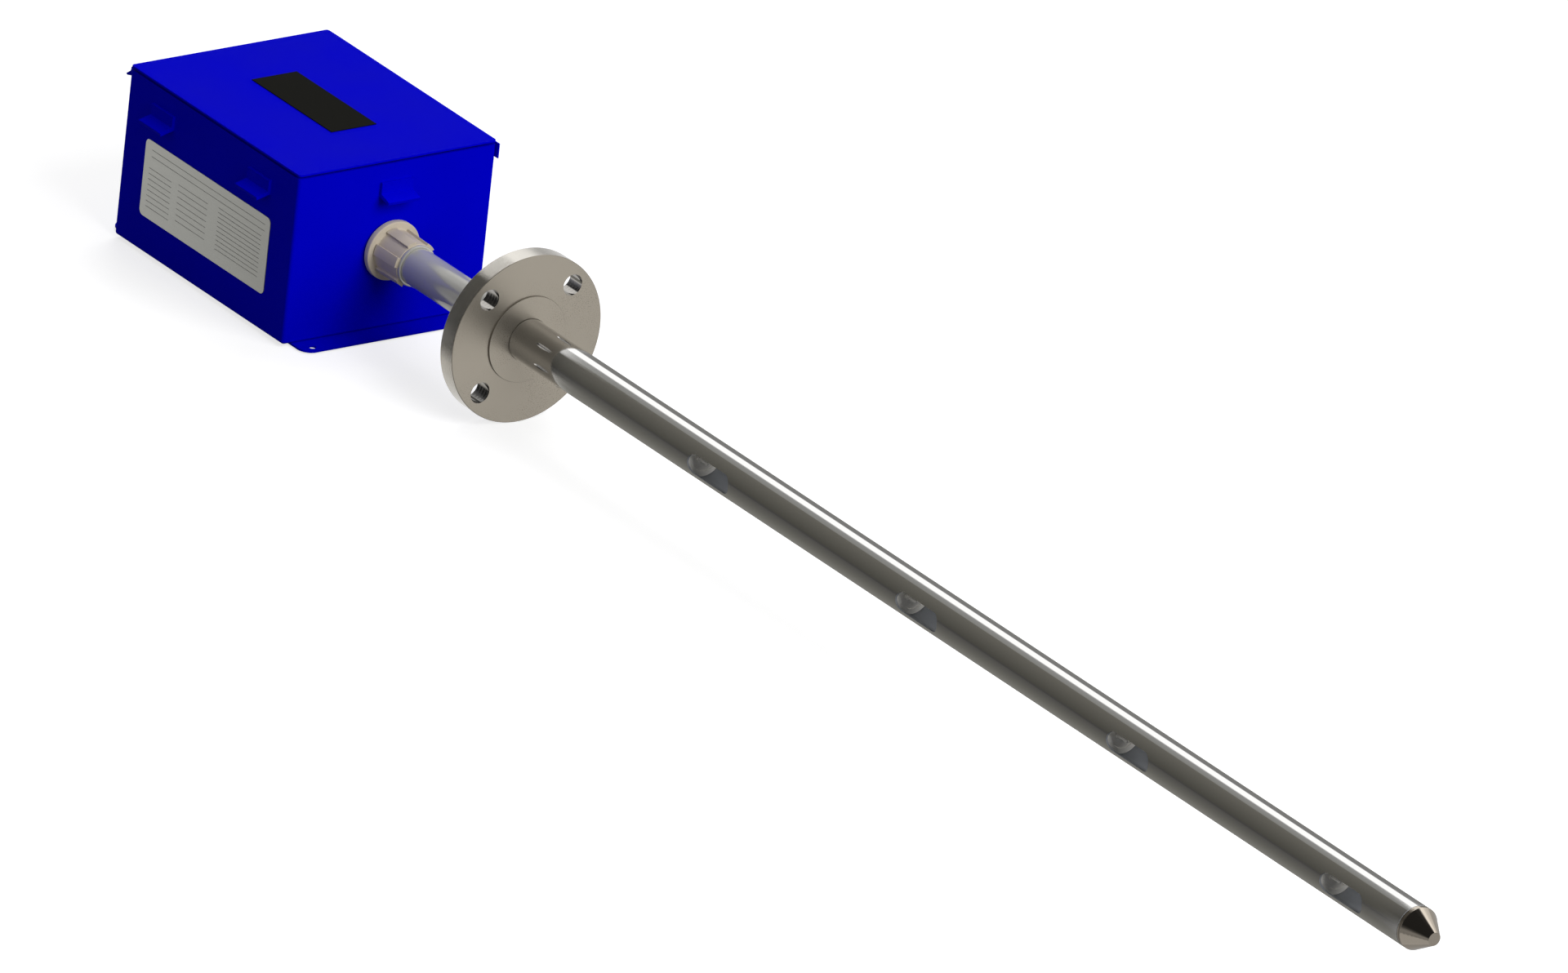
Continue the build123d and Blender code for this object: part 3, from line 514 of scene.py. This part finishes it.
wall = body_high.x
seal_thickness, disc_thickness, hub_body_length, nipple_length = 1.2, 6.0, 32.0, 15.9
mouth_radius, passage_radius, socket_depth = 16.75, 13.4, 22.0
hub_seat = wall + seal_thickness
hub_shoulder = hub_seat + disc_thickness
hub_end = hub_shoulder + hub_body_length
nipple_end = wall - nipple_length
hub_stations = [(hub_end - 6, mouth_radius), (hub_end, mouth_radius), (hub_end, 18.8),
                (hub_end - 0.4, 19.2), (hub_end - 6, 19.2), (hub_shoulder + 0.8, 20.0),
                (hub_shoulder, 20.8), (hub_shoulder, 25.8), (hub_shoulder - 0.35, 26.65),
                (hub_shoulder - 1.2, 27.0), (hub_seat + 1.2, 27.0), (hub_seat + 0.35, 26.65),
                (hub_seat, 25.8), (hub_seat, 21.0)]
thread_pitch = 1.8
ridge = hub_seat - 3.4
while ridge > nipple_end + thread_pitch:
    hub_stations += [(ridge, 21.0), (ridge - thread_pitch / 2, 20.2)]
    ridge -= thread_pitch
hub_stations += [(nipple_end + 0.6, 20.6), (nipple_end, 20.0), (nipple_end, 13.5),
                 (nipple_end + 0.3, passage_radius), (hub_end - socket_depth, passage_radius),
                 (hub_end - socket_depth, mouth_radius)]
hub = turned("conduit_hub_casting", hub_stations, segments=180, hollow=True)
bpy.ops.object.mode_set(mode="EDIT")
lug_middles = [105 + 60 * number for number in range(6)]
lug_half_angle, lug_rise = 13.2, 2.2


def on_a_lug(at):
    """Whether a face's middle lies on one of the six lugs."""
    around = math.degrees(math.atan2(at.z, at.y)) % 360
    near = min(abs((around - middle + 180) % 360 - 180) for middle in lug_middles)
    between = hub_shoulder + 1 < at.x < hub_end - 0.6
    return between and near < lug_half_angle and 18.9 < math.hypot(at.y, at.z) < 20.5


pick(hub, "faces", on_a_lug)
bpy.ops.mesh.extrude_region_shrink_fatten(TRANSFORM_OT_shrink_fatten={"value": lug_rise / 1000})
bpy.ops.object.mode_set(mode="OBJECT")
soften(hub, 0.12, 1, 40)
coat(hub, cast_zinc, "cast_hub", "housing", "conduit_hub")
ring_seal = turned("hub_sealing_ring", [(wall, 21.1), (wall, 24.2), (wall + 0.3, 24.5),
                                        (hub_seat - 0.3, 24.5), (hub_seat, 24.2), (hub_seat, 21.1)],
                   hollow=True)
soften(ring_seal, 0.0)
coat(ring_seal, neoprene, "seal_rubber", "housing", "hub_seal")
dress_node("hub_lobed_locknut", "hub_locknut", 0.6, cast_zinc, "cast_hub", sharpest=40)


# Extension pipe, collar and probe tube: seamless stainless tube. The pipe is left as drawn, and its collar
# closes the hub's mouth. The probe tube is polished, and a window is milled through it for each sensor head.
def tube_steel(name, colour, metallic, least, most):
    """Stainless tube with wipe marks 3 mm wide along it, that vary its roughness from least to most."""
    steel, place = start_material(name)
    along = add_node(steel, "ShaderNodeMapping", {"Vector": place, "Scale": (9.0, 320.0, 320.0)})
    wipe = add_node(steel, "ShaderNodeTexNoise", {"Vector": along.outputs[0], "Scale": 1.0, "Detail": 3.0})
    haze = add_node(steel, "ShaderNodeMapRange",
                    {"Value": wipe.outputs["Fac"], "To Min": least, "To Max": most})
    close_material(steel,
                   {"Base Color": srgb(colour), "Metallic": metallic, "Roughness": haze.outputs["Result"]})
    return steel


# Mirror polish: hardly a colour of its own, only the room in long bands, hazed a little by the wipe marks.
mirror_steel = tube_steel("mirror_polished_stainless", "F4F3F1", 1.0, 0.045, 0.085)

# Drawn pipe: duller and greyer, so the same bands turn soft.
drawn_pipe = tube_steel("drawn_stainless_pipe", "BAB9B2", 0.28, 0.12, 0.20)

pipe_radius, pipe_bore = 16.7, 13.32
flange_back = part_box("process_flange")[0].x * 1000
pipe_start, pipe_end = hub_end - socket_depth + 0.5, flange_back + 6
pipe = turned("extension_pipe_tube", [(pipe_start, pipe_radius), (pipe_end, pipe_radius),
                                      (pipe_end, pipe_bore), (pipe_start, pipe_bore)], hollow=True)
soften(pipe, 0.0)
coat(pipe, drawn_pipe, "polished_steel", "housing", "extension_pipe")
collar = turned("pipe_collar_ring",
                [(hub_end, mouth_radius), (hub_end, 18.4), (hub_end + 0.5, 18.7), (hub_end + 2.2, 18.7),
                 (hub_end + 2.8, 18.3), (hub_end + 2.8, mouth_radius)], hollow=True)
soften(collar, 0.2)
coat(collar, drawn_pipe, "polished_steel", "housing", "pipe_collar")

tube_radius, tube_bore = 19.05, 17.4
tube_low, tube_high = node_corners("sensor_tube")
window_length, window_height = 60.0, 17.5
window_middles = [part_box(f"sensor_bulkhead_{number}")[1].x * 1000 + window_length / 2
                  for number in (1, 2, 3, 4)]
tube = turned("probe_tube_polished", [(tube_low.x, tube_radius), (tube_high.x - 0.25, tube_radius),
                                      (tube_high.x, tube_radius - 0.25), (tube_high.x, tube_bore),
                                      (tube_low.x, tube_bore)], segments=288, hollow=True)
for middle in window_middles:
    bpy.ops.object.select_all(action="DESELECT")
    bpy.ops.mesh.primitive_cylinder_add(vertices=96, radius=window_height / 2000, depth=0.06,
                                        location=(middle / 1000, 0.0, 0.0), rotation=(math.pi / 2, 0.0, 0.0))
    cutter = bpy.context.object
    bpy.ops.object.transform_apply(location=True, rotation=True, scale=True)
    bpy.ops.object.mode_set(mode="EDIT")
    run = (window_length - window_height) / 2000
    pick(cutter, "verts", lambda at: at.x > middle + 0.001)
    bpy.ops.transform.translate(value=(run, 0.0, 0.0))
    pick(cutter, "verts", lambda at: at.x < middle - 0.001)
    bpy.ops.transform.translate(value=(-run, 0.0, 0.0))
    bpy.ops.object.mode_set(mode="OBJECT")
    cut_away(tube, cutter)
soften(tube, 0.0)
coat(tube, mirror_steel, "polished_steel", "housing", "sensor_tube")

# Bored wall: a cool, flat grey with tool marks 0.7 mm wide.
bored_steel, place = start_material("grey_bored_stainless")
marks = add_node(bored_steel, "ShaderNodeTexNoise", {"Vector": place, "Scale": 1000 / 0.7, "Detail": 2.0})
grey = add_node(bored_steel, "ShaderNodeMix", {0: marks.outputs["Fac"], 6: srgb("888C92"), 7: srgb("979A9F")},
                data_type="RGBA")
close_material(bored_steel, {"Base Color": grey.outputs[2], "Metallic": 0.3, "Roughness": 0.5})
tube.data.materials.append(bored_steel)
for polygon in tube.data.polygons:
    if math.hypot(polygon.center.y, polygon.center.z) * 1000 < tube_radius - 0.1:
        polygon.material_index = 1


# End cap: a solid stainless nose, turned from bar and welded in the tube's end behind a fine joint groove.
# A plain band guides the probe into its sleeve, and the cone ends in a small flat.

# Fine turning: a warm mirror with a faint shimmer of rings. They are drawn 3 mm apart to show.
turned_steel, place = start_material("fine_turned_stainless")
rings = add_node(turned_steel, "ShaderNodeTexWave",
                 {"Vector": place, "Scale": 1000 / 0.5 / 20, "Distortion": 0.6, "Detail": 2.0},
                 bands_direction="X")
bump = add_node(turned_steel, "ShaderNodeBump",
                {"Height": rings.outputs["Fac"], "Strength": 0.12, "Distance": 0.00003})
close_material(turned_steel, {"Base Color": srgb("C4BAAC"), "Metallic": 1.0, "Roughness": 0.07,
                              "Normal": bump.outputs["Normal"]})
cap_start, tip = tube_high.x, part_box("end_cap")[1].x * 1000
cap_band, tip_flat_radius, bore_fit = 4.4, 6.0, 17.35
cap = turned("probe_end_cap", [(cap_start - 12, 0.5), (cap_start - 12, bore_fit), (cap_start, bore_fit),
                               (cap_start, 18.85), (cap_start + 0.6, 18.85), (cap_start + 0.8, tube_radius),
                               (cap_start + cap_band, tube_radius), (tip, tip_flat_radius), (tip, 0.5)],
             segments=192)
soften(cap, 0.0, sharpest=20)
coat(cap, turned_steel, "polished_steel", "housing", "end_cap")


# Process flange: a forged stainless flange, faced and turned, with a raised gasket face and four reamed
# bolt holes. The pipe is welded in its back and the tube in its front.

# Faced forging: a warm satin grey with dark 0.8 mm specks in patches of 45 mm. The face's close
# spiral groove is drawn 5 mm apart to show.
faced_steel, place = start_material("faced_forged_stainless")
speck = add_node(faced_steel, "ShaderNodeTexNoise", {"Vector": place, "Scale": 1000 / 0.8, "Detail": 2.0})
pits = add_node(faced_steel, "ShaderNodeMapRange",
                {"Value": speck.outputs["Fac"], "From Min": 0.58, "From Max": 0.70})
cloud = add_node(faced_steel, "ShaderNodeTexNoise", {"Vector": place, "Scale": 1000 / 45, "Detail": 2.0})
patch = add_node(faced_steel, "ShaderNodeMapRange",
                 {"Value": cloud.outputs["Fac"], "From Min": 0.42, "From Max": 0.62})
where = add_node(faced_steel, "ShaderNodeMath", {0: pits.outputs["Result"], 1: patch.outputs["Result"]},
                 operation="MULTIPLY")
face = add_node(faced_steel, "ShaderNodeMix", {0: where.outputs[0], 6: srgb("9C9589"), 7: srgb("5C564E")},
                data_type="RGBA")
groove = add_node(faced_steel, "ShaderNodeTexWave", {"Vector": place, "Scale": 1000 / 0.8 / 20},
                  wave_type="RINGS", rings_direction="X")
bump = add_node(faced_steel, "ShaderNodeBump",
                {"Height": groove.outputs["Fac"], "Strength": 0.15, "Distance": 0.00003})
close_material(faced_steel, {"Base Color": face.outputs[2], "Metallic": 0.78, "Roughness": 0.36,
                             "Normal": bump.outputs["Normal"]})

flange_radius, bolt_circle, bolt_hole = 76.2, 120.65, 19.05
face_radius, face_height, flange_edge, pipe_socket = 39.0, 1.6, 0.4, 16.75
flange = turned("process_flange_forging",
                [(flange_back, pipe_socket), (flange_back, flange_radius - flange_edge),
                 (flange_back + flange_edge, flange_radius), (-flange_edge, flange_radius),
                 (0.0, flange_radius - flange_edge), (0.0, face_radius), (face_height - 0.2, face_radius),
                 (face_height, face_radius - 0.2), (face_height, 19.5), (0.9, 19.5), (0.9, 19.1),
                 (-11.5, 19.1), (-11.5, pipe_socket)],
                segments=216, hollow=True)
for number in range(4):
    around = math.radians(45 + 90 * number)
    bpy.ops.object.select_all(action="DESELECT")
    bpy.ops.mesh.primitive_cylinder_add(vertices=64, radius=bolt_hole / 2000, depth=0.06,
                                        rotation=(0, math.pi / 2, 0),
                                        location=(0, bolt_circle / 2000 * math.cos(around),
                                                  bolt_circle / 2000 * math.sin(around)))
    cut_away(flange, bpy.context.object)
soften(flange, 0.12)
coat(flange, faced_steel, "flange_steel", "housing", "process_flange")

# Turned rim: a bright shine, with a 0.9 mm grain that frays its bands.
rim_steel, place = start_material("bright_turned_rim")
grain = add_node(rim_steel, "ShaderNodeTexNoise", {"Vector": place, "Scale": 1000 / 0.9, "Detail": 2.0})
bump = add_node(rim_steel, "ShaderNodeBump",
                {"Height": grain.outputs["Fac"], "Strength": 0.3, "Distance": 0.00008})
close_material(rim_steel, {"Base Color": srgb("D4D0C8"), "Metallic": 1.0, "Roughness": 0.09,
                           "Normal": bump.outputs["Normal"]})

# Reamed wall: a dark mirror with hard lights. Its rings are drawn 4 mm apart to show.
drilled_steel, place = start_material("reamed_hole_wall")
cuts = add_node(drilled_steel, "ShaderNodeTexWave",
                {"Vector": place, "Scale": 1000 / 0.6 / 20, "Distortion": 0.5}, bands_direction="X")
rough = add_node(drilled_steel, "ShaderNodeMapRange",
                 {"Value": cuts.outputs["Fac"], "To Min": 0.04, "To Max": 0.08})
close_material(drilled_steel,
               {"Base Color": srgb("A8A5A0"), "Metallic": 1.0, "Roughness": rough.outputs["Result"]})
flange.data.materials.append(rim_steel)
flange.data.materials.append(drilled_steel)
for polygon in flange.data.polygons:
    out = math.hypot(polygon.center.y, polygon.center.z) * 1000
    drilled = abs(polygon.normal.x) < 0.3 and out < 70 and -17 < polygon.center.x * 1000 < -0.5
    if out > 75.9 and abs(polygon.normal.x) < 0.3:
        polygon.material_index = 1
    elif drilled and out > 45:
        polygon.material_index = 2


# Sensor heads: a dished stainless bulkhead closes the tube at each window's flange end and carries a heated
# and a reference pin, a plain one closes the far end, and a thin tube takes the leads past the windows.

# Satin machining: soft, with its colour painted paler than the steel, a painted light that keeps the heads
# readable in the dark tube.
pale_painted_satin_steel, place = start_material("satin_stainless_painted_pale")
lines = add_node(pale_painted_satin_steel, "ShaderNodeTexNoise", {"Vector": place, "Scale": 1000 / 0.6, "Detail": 2.0})
rough = add_node(pale_painted_satin_steel, "ShaderNodeMapRange",
                 {"Value": lines.outputs["Fac"], "To Min": 0.25, "To Max": 0.42})
close_material(pale_painted_satin_steel,
               {"Base Color": srgb("ECE9E2"), "Metallic": 0.3, "Roughness": rough.outputs["Result"]})


def copy_along(piece, name, shift):
    """A copy of the piece with its own mesh, moved along X by shift millimetres."""
    copy = piece.copy()
    copy.data = piece.data.copy()
    copy.name = name
    scene.collection.objects.link(copy)
    copy.data.transform(Matrix.Translation((shift / 1000, 0.0, 0.0)))
    return copy


sting_offset = 6.0
near, far = window_middles[0] - window_length / 2, window_middles[0] + window_length / 2
seat = near - 1
sting = [(seat - 4, 0.4), (seat - 4, 1.6), (seat, 1.6), (seat, 2.8), (seat + 1.7, 2.8), (seat + 2, 2.5),
         (seat + 2, 1.6), (seat + 12.4, 1.6), (seat + 13.2, 1.4), (seat + 13.7, 1.0), (seat + 13.95, 0.5),
         (seat + 14, 0.2)]
models = {
    "sensor_bulkhead": turned("sensor_bulkhead_model",
                              [(near - 6, 0.5), (near - 6, bore_fit), (near - 0.3, bore_fit),
                               (near, bore_fit - 0.3), (near, 12.6), (seat, 12.2), (seat, 0.5)], segments=96),
    "closing_bulkhead": turned("closing_bulkhead_model",
                               [(far + 6, 0.5), (far + 6, bore_fit), (far + 0.3, bore_fit),
                                (far, bore_fit - 0.3), (far, 12.6), (far + 1, 12.2), (far + 1, 0.5)],
                               segments=96),
    "heated_sting": turned("heated_sting_model", sting, segments=32, axis=(-sting_offset, 0.0)),
    "reference_sting": turned("reference_sting_model", sting, segments=32, axis=(sting_offset, 0.0)),
}
for model in models.values():
    soften(model, 0.0)
for number, middle in enumerate(window_middles, start=1):
    for kind, model in models.items():
        head = copy_along(model, f"{kind}_{number}_turned", middle - window_middles[0])
        coat(head, pale_painted_satin_steel, "sensor_steel", "housing", f"{kind}_{number}")
for model in models.values():
    bpy.data.objects.remove(model)

lead_low, lead_high = node_corners("lead_tube")
lead_radius, lead_bore, lead_height = 3.17, 2.28, 12.4
lead_tube = turned("lead_tube_drawn", [(lead_low.x, lead_radius), (lead_high.x, lead_radius),
                                       (lead_high.x, lead_bore), (lead_low.x, lead_bore)],
                   segments=48, axis=(0.0, lead_height), hollow=True)
soften(lead_tube, 0.0)
coat(lead_tube, pale_painted_satin_steel, "sensor_steel", "housing", "lead_tube")


# Sub-panel and its fixings: a white enamelled steel panel that lifts the electronics off the floor. It sits
# on four collar studs and is held by zinc plated nuts.

# Enamel: a warm white gloss with a slight wave, 2.5 mm wide.
enamel, place = start_material("white_enamelled_steel")
wave = add_node(enamel, "ShaderNodeTexNoise", {"Vector": place, "Scale": 1000 / 2.5, "Detail": 2.0})
white = add_node(enamel, "ShaderNodeMix", {0: wave.outputs["Fac"], 6: srgb("D9D9D4"), 7: srgb("E4E4DF")},
                 data_type="RGBA")
bump = add_node(enamel, "ShaderNodeBump",
                {"Height": wave.outputs["Fac"], "Strength": 0.2, "Distance": 0.0001})
close_material(enamel, {"Base Color": white.outputs[2], "Roughness": 0.3, "Normal": bump.outputs["Normal"]})

# Zinc plating: silvery, with a yellow bloom in 3 mm spots.
zinc, place = start_material("bright_zinc_plating")
bloom = add_node(zinc, "ShaderNodeTexNoise", {"Vector": place, "Scale": 1000 / 3, "Detail": 3.0})
tint = add_node(zinc, "ShaderNodeMix", {0: bloom.outputs["Fac"], 6: srgb("B9BBBA"), 7: srgb("CFCBB8")},
                data_type="RGBA")
close_material(zinc, {"Base Color": tint.outputs[2], "Metallic": 1.0, "Roughness": 0.3})
dress_node("sub_panel_sheet", "sub_panel", 0.3, enamel, "panel_paint")
for node in ("panel_studs", "panel_nuts", "board_standoffs"):
    dress_node(node + "_plated", node, 0.25, zinc, "zinc_plated", sharpest=40)


# Circuit boards: a main board and four small bridge boards, one for each sensor head, of etched glass epoxy
# under green solder mask. They are screwed to standoffs and plugged upright on the main board.

# Solder mask: green gloss, with copper tracks 4 mm apart faintly raised under it.
solder_mask, place = start_material("green_solder_mask_on_glass_epoxy")
tracks = add_node(solder_mask, "ShaderNodeTexBrick",
                  {"Vector": place, "Color1": srgb("0E4A26"), "Color2": srgb("115A2E"),
                   "Mortar": srgb("1C7440"), "Scale": 60.0, "Mortar Size": 0.03, "Brick Width": 0.9,
                   "Row Height": 0.25})
bump = add_node(solder_mask, "ShaderNodeBump",
                {"Height": tracks.outputs["Fac"], "Strength": 0.4, "Distance": 0.00008})
close_material(solder_mask,
               {"Base Color": tracks.outputs["Color"], "Roughness": 0.32, "Normal": bump.outputs["Normal"]})
for node in ("main_board", "bridge_boards"):
    dress_node(node + "_etched", node, 0.15, solder_mask, "board_green")


# Chips: black packages moulded in epoxy and soldered on the main board, in the sizes that a small
# measuring circuit has.

# Moulded epoxy: black, dulled by a 0.4 mm grain.
moulded_epoxy, place = start_material("black_moulded_epoxy")
grain = add_node(moulded_epoxy, "ShaderNodeTexNoise", {"Vector": place, "Scale": 1000 / 0.4, "Detail": 2.0})
rough = add_node(moulded_epoxy, "ShaderNodeMapRange",
                 {"Value": grain.outputs["Fac"], "To Min": 0.5, "To Max": 0.7})
close_material(moulded_epoxy, {"Base Color": srgb("17171A"), "Roughness": rough.outputs["Result"]})
board_low, board_high = node_corners("main_board")
chip_height = 2.2
chip_places = [(12, 34, 14, 14), (34, 30, 10, 18), (118, 34, 12, 12), (124, 16, 8, 14), (16, 12, 18, 8),
               (14, 58, 8, 8), (126, 58, 8, 10), (126, 84, 10, 10), (10, 84, 10, 8)]
for number, (x, y, length, width) in enumerate(chip_places, start=1):
    low = (board_low.x + x - length / 2, board_low.y + y - width / 2, board_high.z)
    high = (low[0] + length, low[1] + width, board_high.z + chip_height)
    chip = block(f"main_board_chip_{number}", low, high)
    soften(chip, 0.3, 1)
    coat(chip, moulded_epoxy, "display_black", "housing")


# Capacitors: drawn aluminium cans in shrunk black sleeves that leave the tops bare, soldered upright on the
# main board.
def upright(name, x, y, low, high, radius):
    """A standing cylinder, in millimetres."""
    bpy.ops.object.select_all(action="DESELECT")
    bpy.ops.mesh.primitive_cylinder_add(vertices=40, radius=radius / 1000, depth=(high - low) / 1000,
                                        location=(x / 1000, y / 1000, (low + high) / 2000))
    piece = bpy.context.object
    piece.name = name
    bpy.ops.object.transform_apply(location=True, rotation=True, scale=True)
    return piece


can_places = [(102, 12, 4.0, 11), (102, 26, 5.0, 13), (40, 10, 3.2, 8)]
for number, (x, y, radius, height) in enumerate(can_places, start=1):
    x, y, foot = board_low.x + x, board_low.y + y, board_high.z
    sleeve = upright(f"capacitor_{number}_sleeve", x, y, foot, foot + height - 0.4, radius)
    soften(sleeve, 0.4)
    coat(sleeve, moulded_epoxy, "display_black", "housing")
    can = upright(f"capacitor_{number}_can", x, y, foot + 0.5, foot + height, radius - 0.5)
    soften(can, 0.3)
    coat(can, zinc, "zinc_plated", "housing")


# Display and keys: a framed character display with a dark glass window, and four sprung ABS keys in their
# switch bodies beside it.
def moulded_plastic(name, colour, grain, strength, roughness):
    """A moulded plastic with the mould's fine grain, given in millimetres, in its surface."""
    plastic, place = start_material(name)
    spark = add_node(plastic, "ShaderNodeTexNoise", {"Vector": place, "Scale": 1000 / grain, "Detail": 2.0})
    bump = add_node(plastic, "ShaderNodeBump",
                    {"Height": spark.outputs["Fac"], "Strength": strength, "Distance": 0.00005})
    close_material(plastic,
                   {"Base Color": srgb(colour), "Roughness": roughness, "Normal": bump.outputs["Normal"]})
    return plastic


# Moulded ABS: charcoal, with a 0.5 mm grain that breaks up its shine.
moulded_abs = moulded_plastic("charcoal_moulded_abs", "232326", 0.5, 0.25, 0.48)
for node in ("display_module", "key_switches"):
    dress_node(node + "_moulded", node, 0.3, moulded_abs, "display_black")

# Key caps: the same grain in light grey, so the keys stand out.
key_abs = moulded_plastic("light_grey_abs_key", "8C8F92", 0.5, 0.2, 0.42)

# Display glass: smooth grey green, with the faint grid of unlit cells, 3 by 6 mm.
cell_glass, place = start_material("unlit_character_display_glass")
cells = add_node(cell_glass, "ShaderNodeTexBrick",
                 {"Vector": place, "Color1": srgb("73805F"), "Color2": srgb("76835F"),
                  "Mortar": srgb("8B9776"), "Scale": 1000 / 6.0, "Mortar Size": 0.07,
                  "Brick Width": 0.5, "Row Height": 1.0}, offset=0.0)
close_material(cell_glass, {"Base Color": cells.outputs["Color"], "Roughness": 0.12})
display_low, display_high = node_corners("display_module")
middle = (display_low + display_high) / 2
glass_half = Vector((31.8, 7.8, 0.0))
glass = block("display_character_glass", (*(middle - glass_half).xy, display_high.z - 1.5),
              (*(middle + glass_half).xy, display_high.z - 0.9))
soften(glass, 0.2)
coat(glass, cell_glass, "display_black", "housing")
for key in ("menu_key_1", "menu_key_2", "menu_key_3", "menu_key_4"):
    dress_node(key + "_cap", key, 0.0, key_abs, "key_plastic", key)


# Power supply, terminals and earth lug: a folded aluminium case with slots, green moulded strips with a
# screw for each wire, and a tinned copper lug.

# Bare aluminium: a soft metal grey with rolling lines 0.7 mm apart.
folded_case, place = start_material("folded_bare_aluminium")
along = add_node(folded_case, "ShaderNodeMapping", {"Vector": place, "Scale": (1500.0, 60.0, 60.0)})
lines = add_node(folded_case, "ShaderNodeTexNoise", {"Vector": along.outputs[0], "Scale": 1.0, "Detail": 2.0})
rough = add_node(folded_case, "ShaderNodeMapRange",
                 {"Value": lines.outputs["Fac"], "To Min": 0.3, "To Max": 0.5})
close_material(folded_case,
               {"Base Color": srgb("C4C4C2"), "Metallic": 1.0, "Roughness": rough.outputs["Result"]})
dress_node("power_supply_case", "power_supply", 0.25, folded_case, "supply_case")

# Polyamide: mid green with a 0.6 mm grain and a low shine.
polyamide = moulded_plastic("green_moulded_polyamide", "1F7A45", 0.6, 0.2, 0.45)
terminal_pitch, well_offset = 8.0, 2.8
for node in ("signal_terminals", "power_terminals"):
    dress_node(node + "_moulded", node, 0.2, polyamide, "terminal_plastic")
    low, high = node_corners(node)
    ways = round((high.x - low.x) / terminal_pitch)
    wells = (low.y + high.y) / 2 + (well_offset if node == "signal_terminals" else -well_offset)
    middle = low.x + terminal_pitch / 2
    screw = upright("clamp_screw", middle, wells, high.z - 4, high.z - 1.6, 2.0)
    cut_away(screw,
             block("slot_cutter", (middle - 0.4, wells - 3, high.z - 2.4), (middle + 0.4, wells + 3, high.z)))
    screws = [copy_along(screw, "clamp_screw", terminal_pitch * way) for way in range(1, ways)]
    screws = join(node + "_clamp_screws", [screw, *screws])
    soften(screws, 0.0)
    coat(screws, zinc, "zinc_plated", "housing")
dress_node("ground_lug_tinned", "ground_lug", 0.3, zinc, "lug_copper")


# Lead harness: the sensors' leads in one extruded grey silicone jacket, from the probe through the pipe and
# the hub to the signal terminals. It is drawn as one cord.

# Silicone: matte grey with pale dust in 1.5 mm spots.
jacket, place = start_material("grey_silicone_jacket")
dust = add_node(jacket, "ShaderNodeTexNoise", {"Vector": place, "Scale": 1000 / 1.5, "Detail": 3.0})
grey = add_node(jacket, "ShaderNodeMix", {0: dust.outputs["Fac"], 6: srgb("7E7F80"), 7: srgb("959595")},
                data_type="RGBA")
close_material(jacket, {"Base Color": grey.outputs[2], "Roughness": 0.6})
dress_node("lead_harness_jacket", "lead_harness", 0.0, jacket, "lead_jacket", sharpest=45)
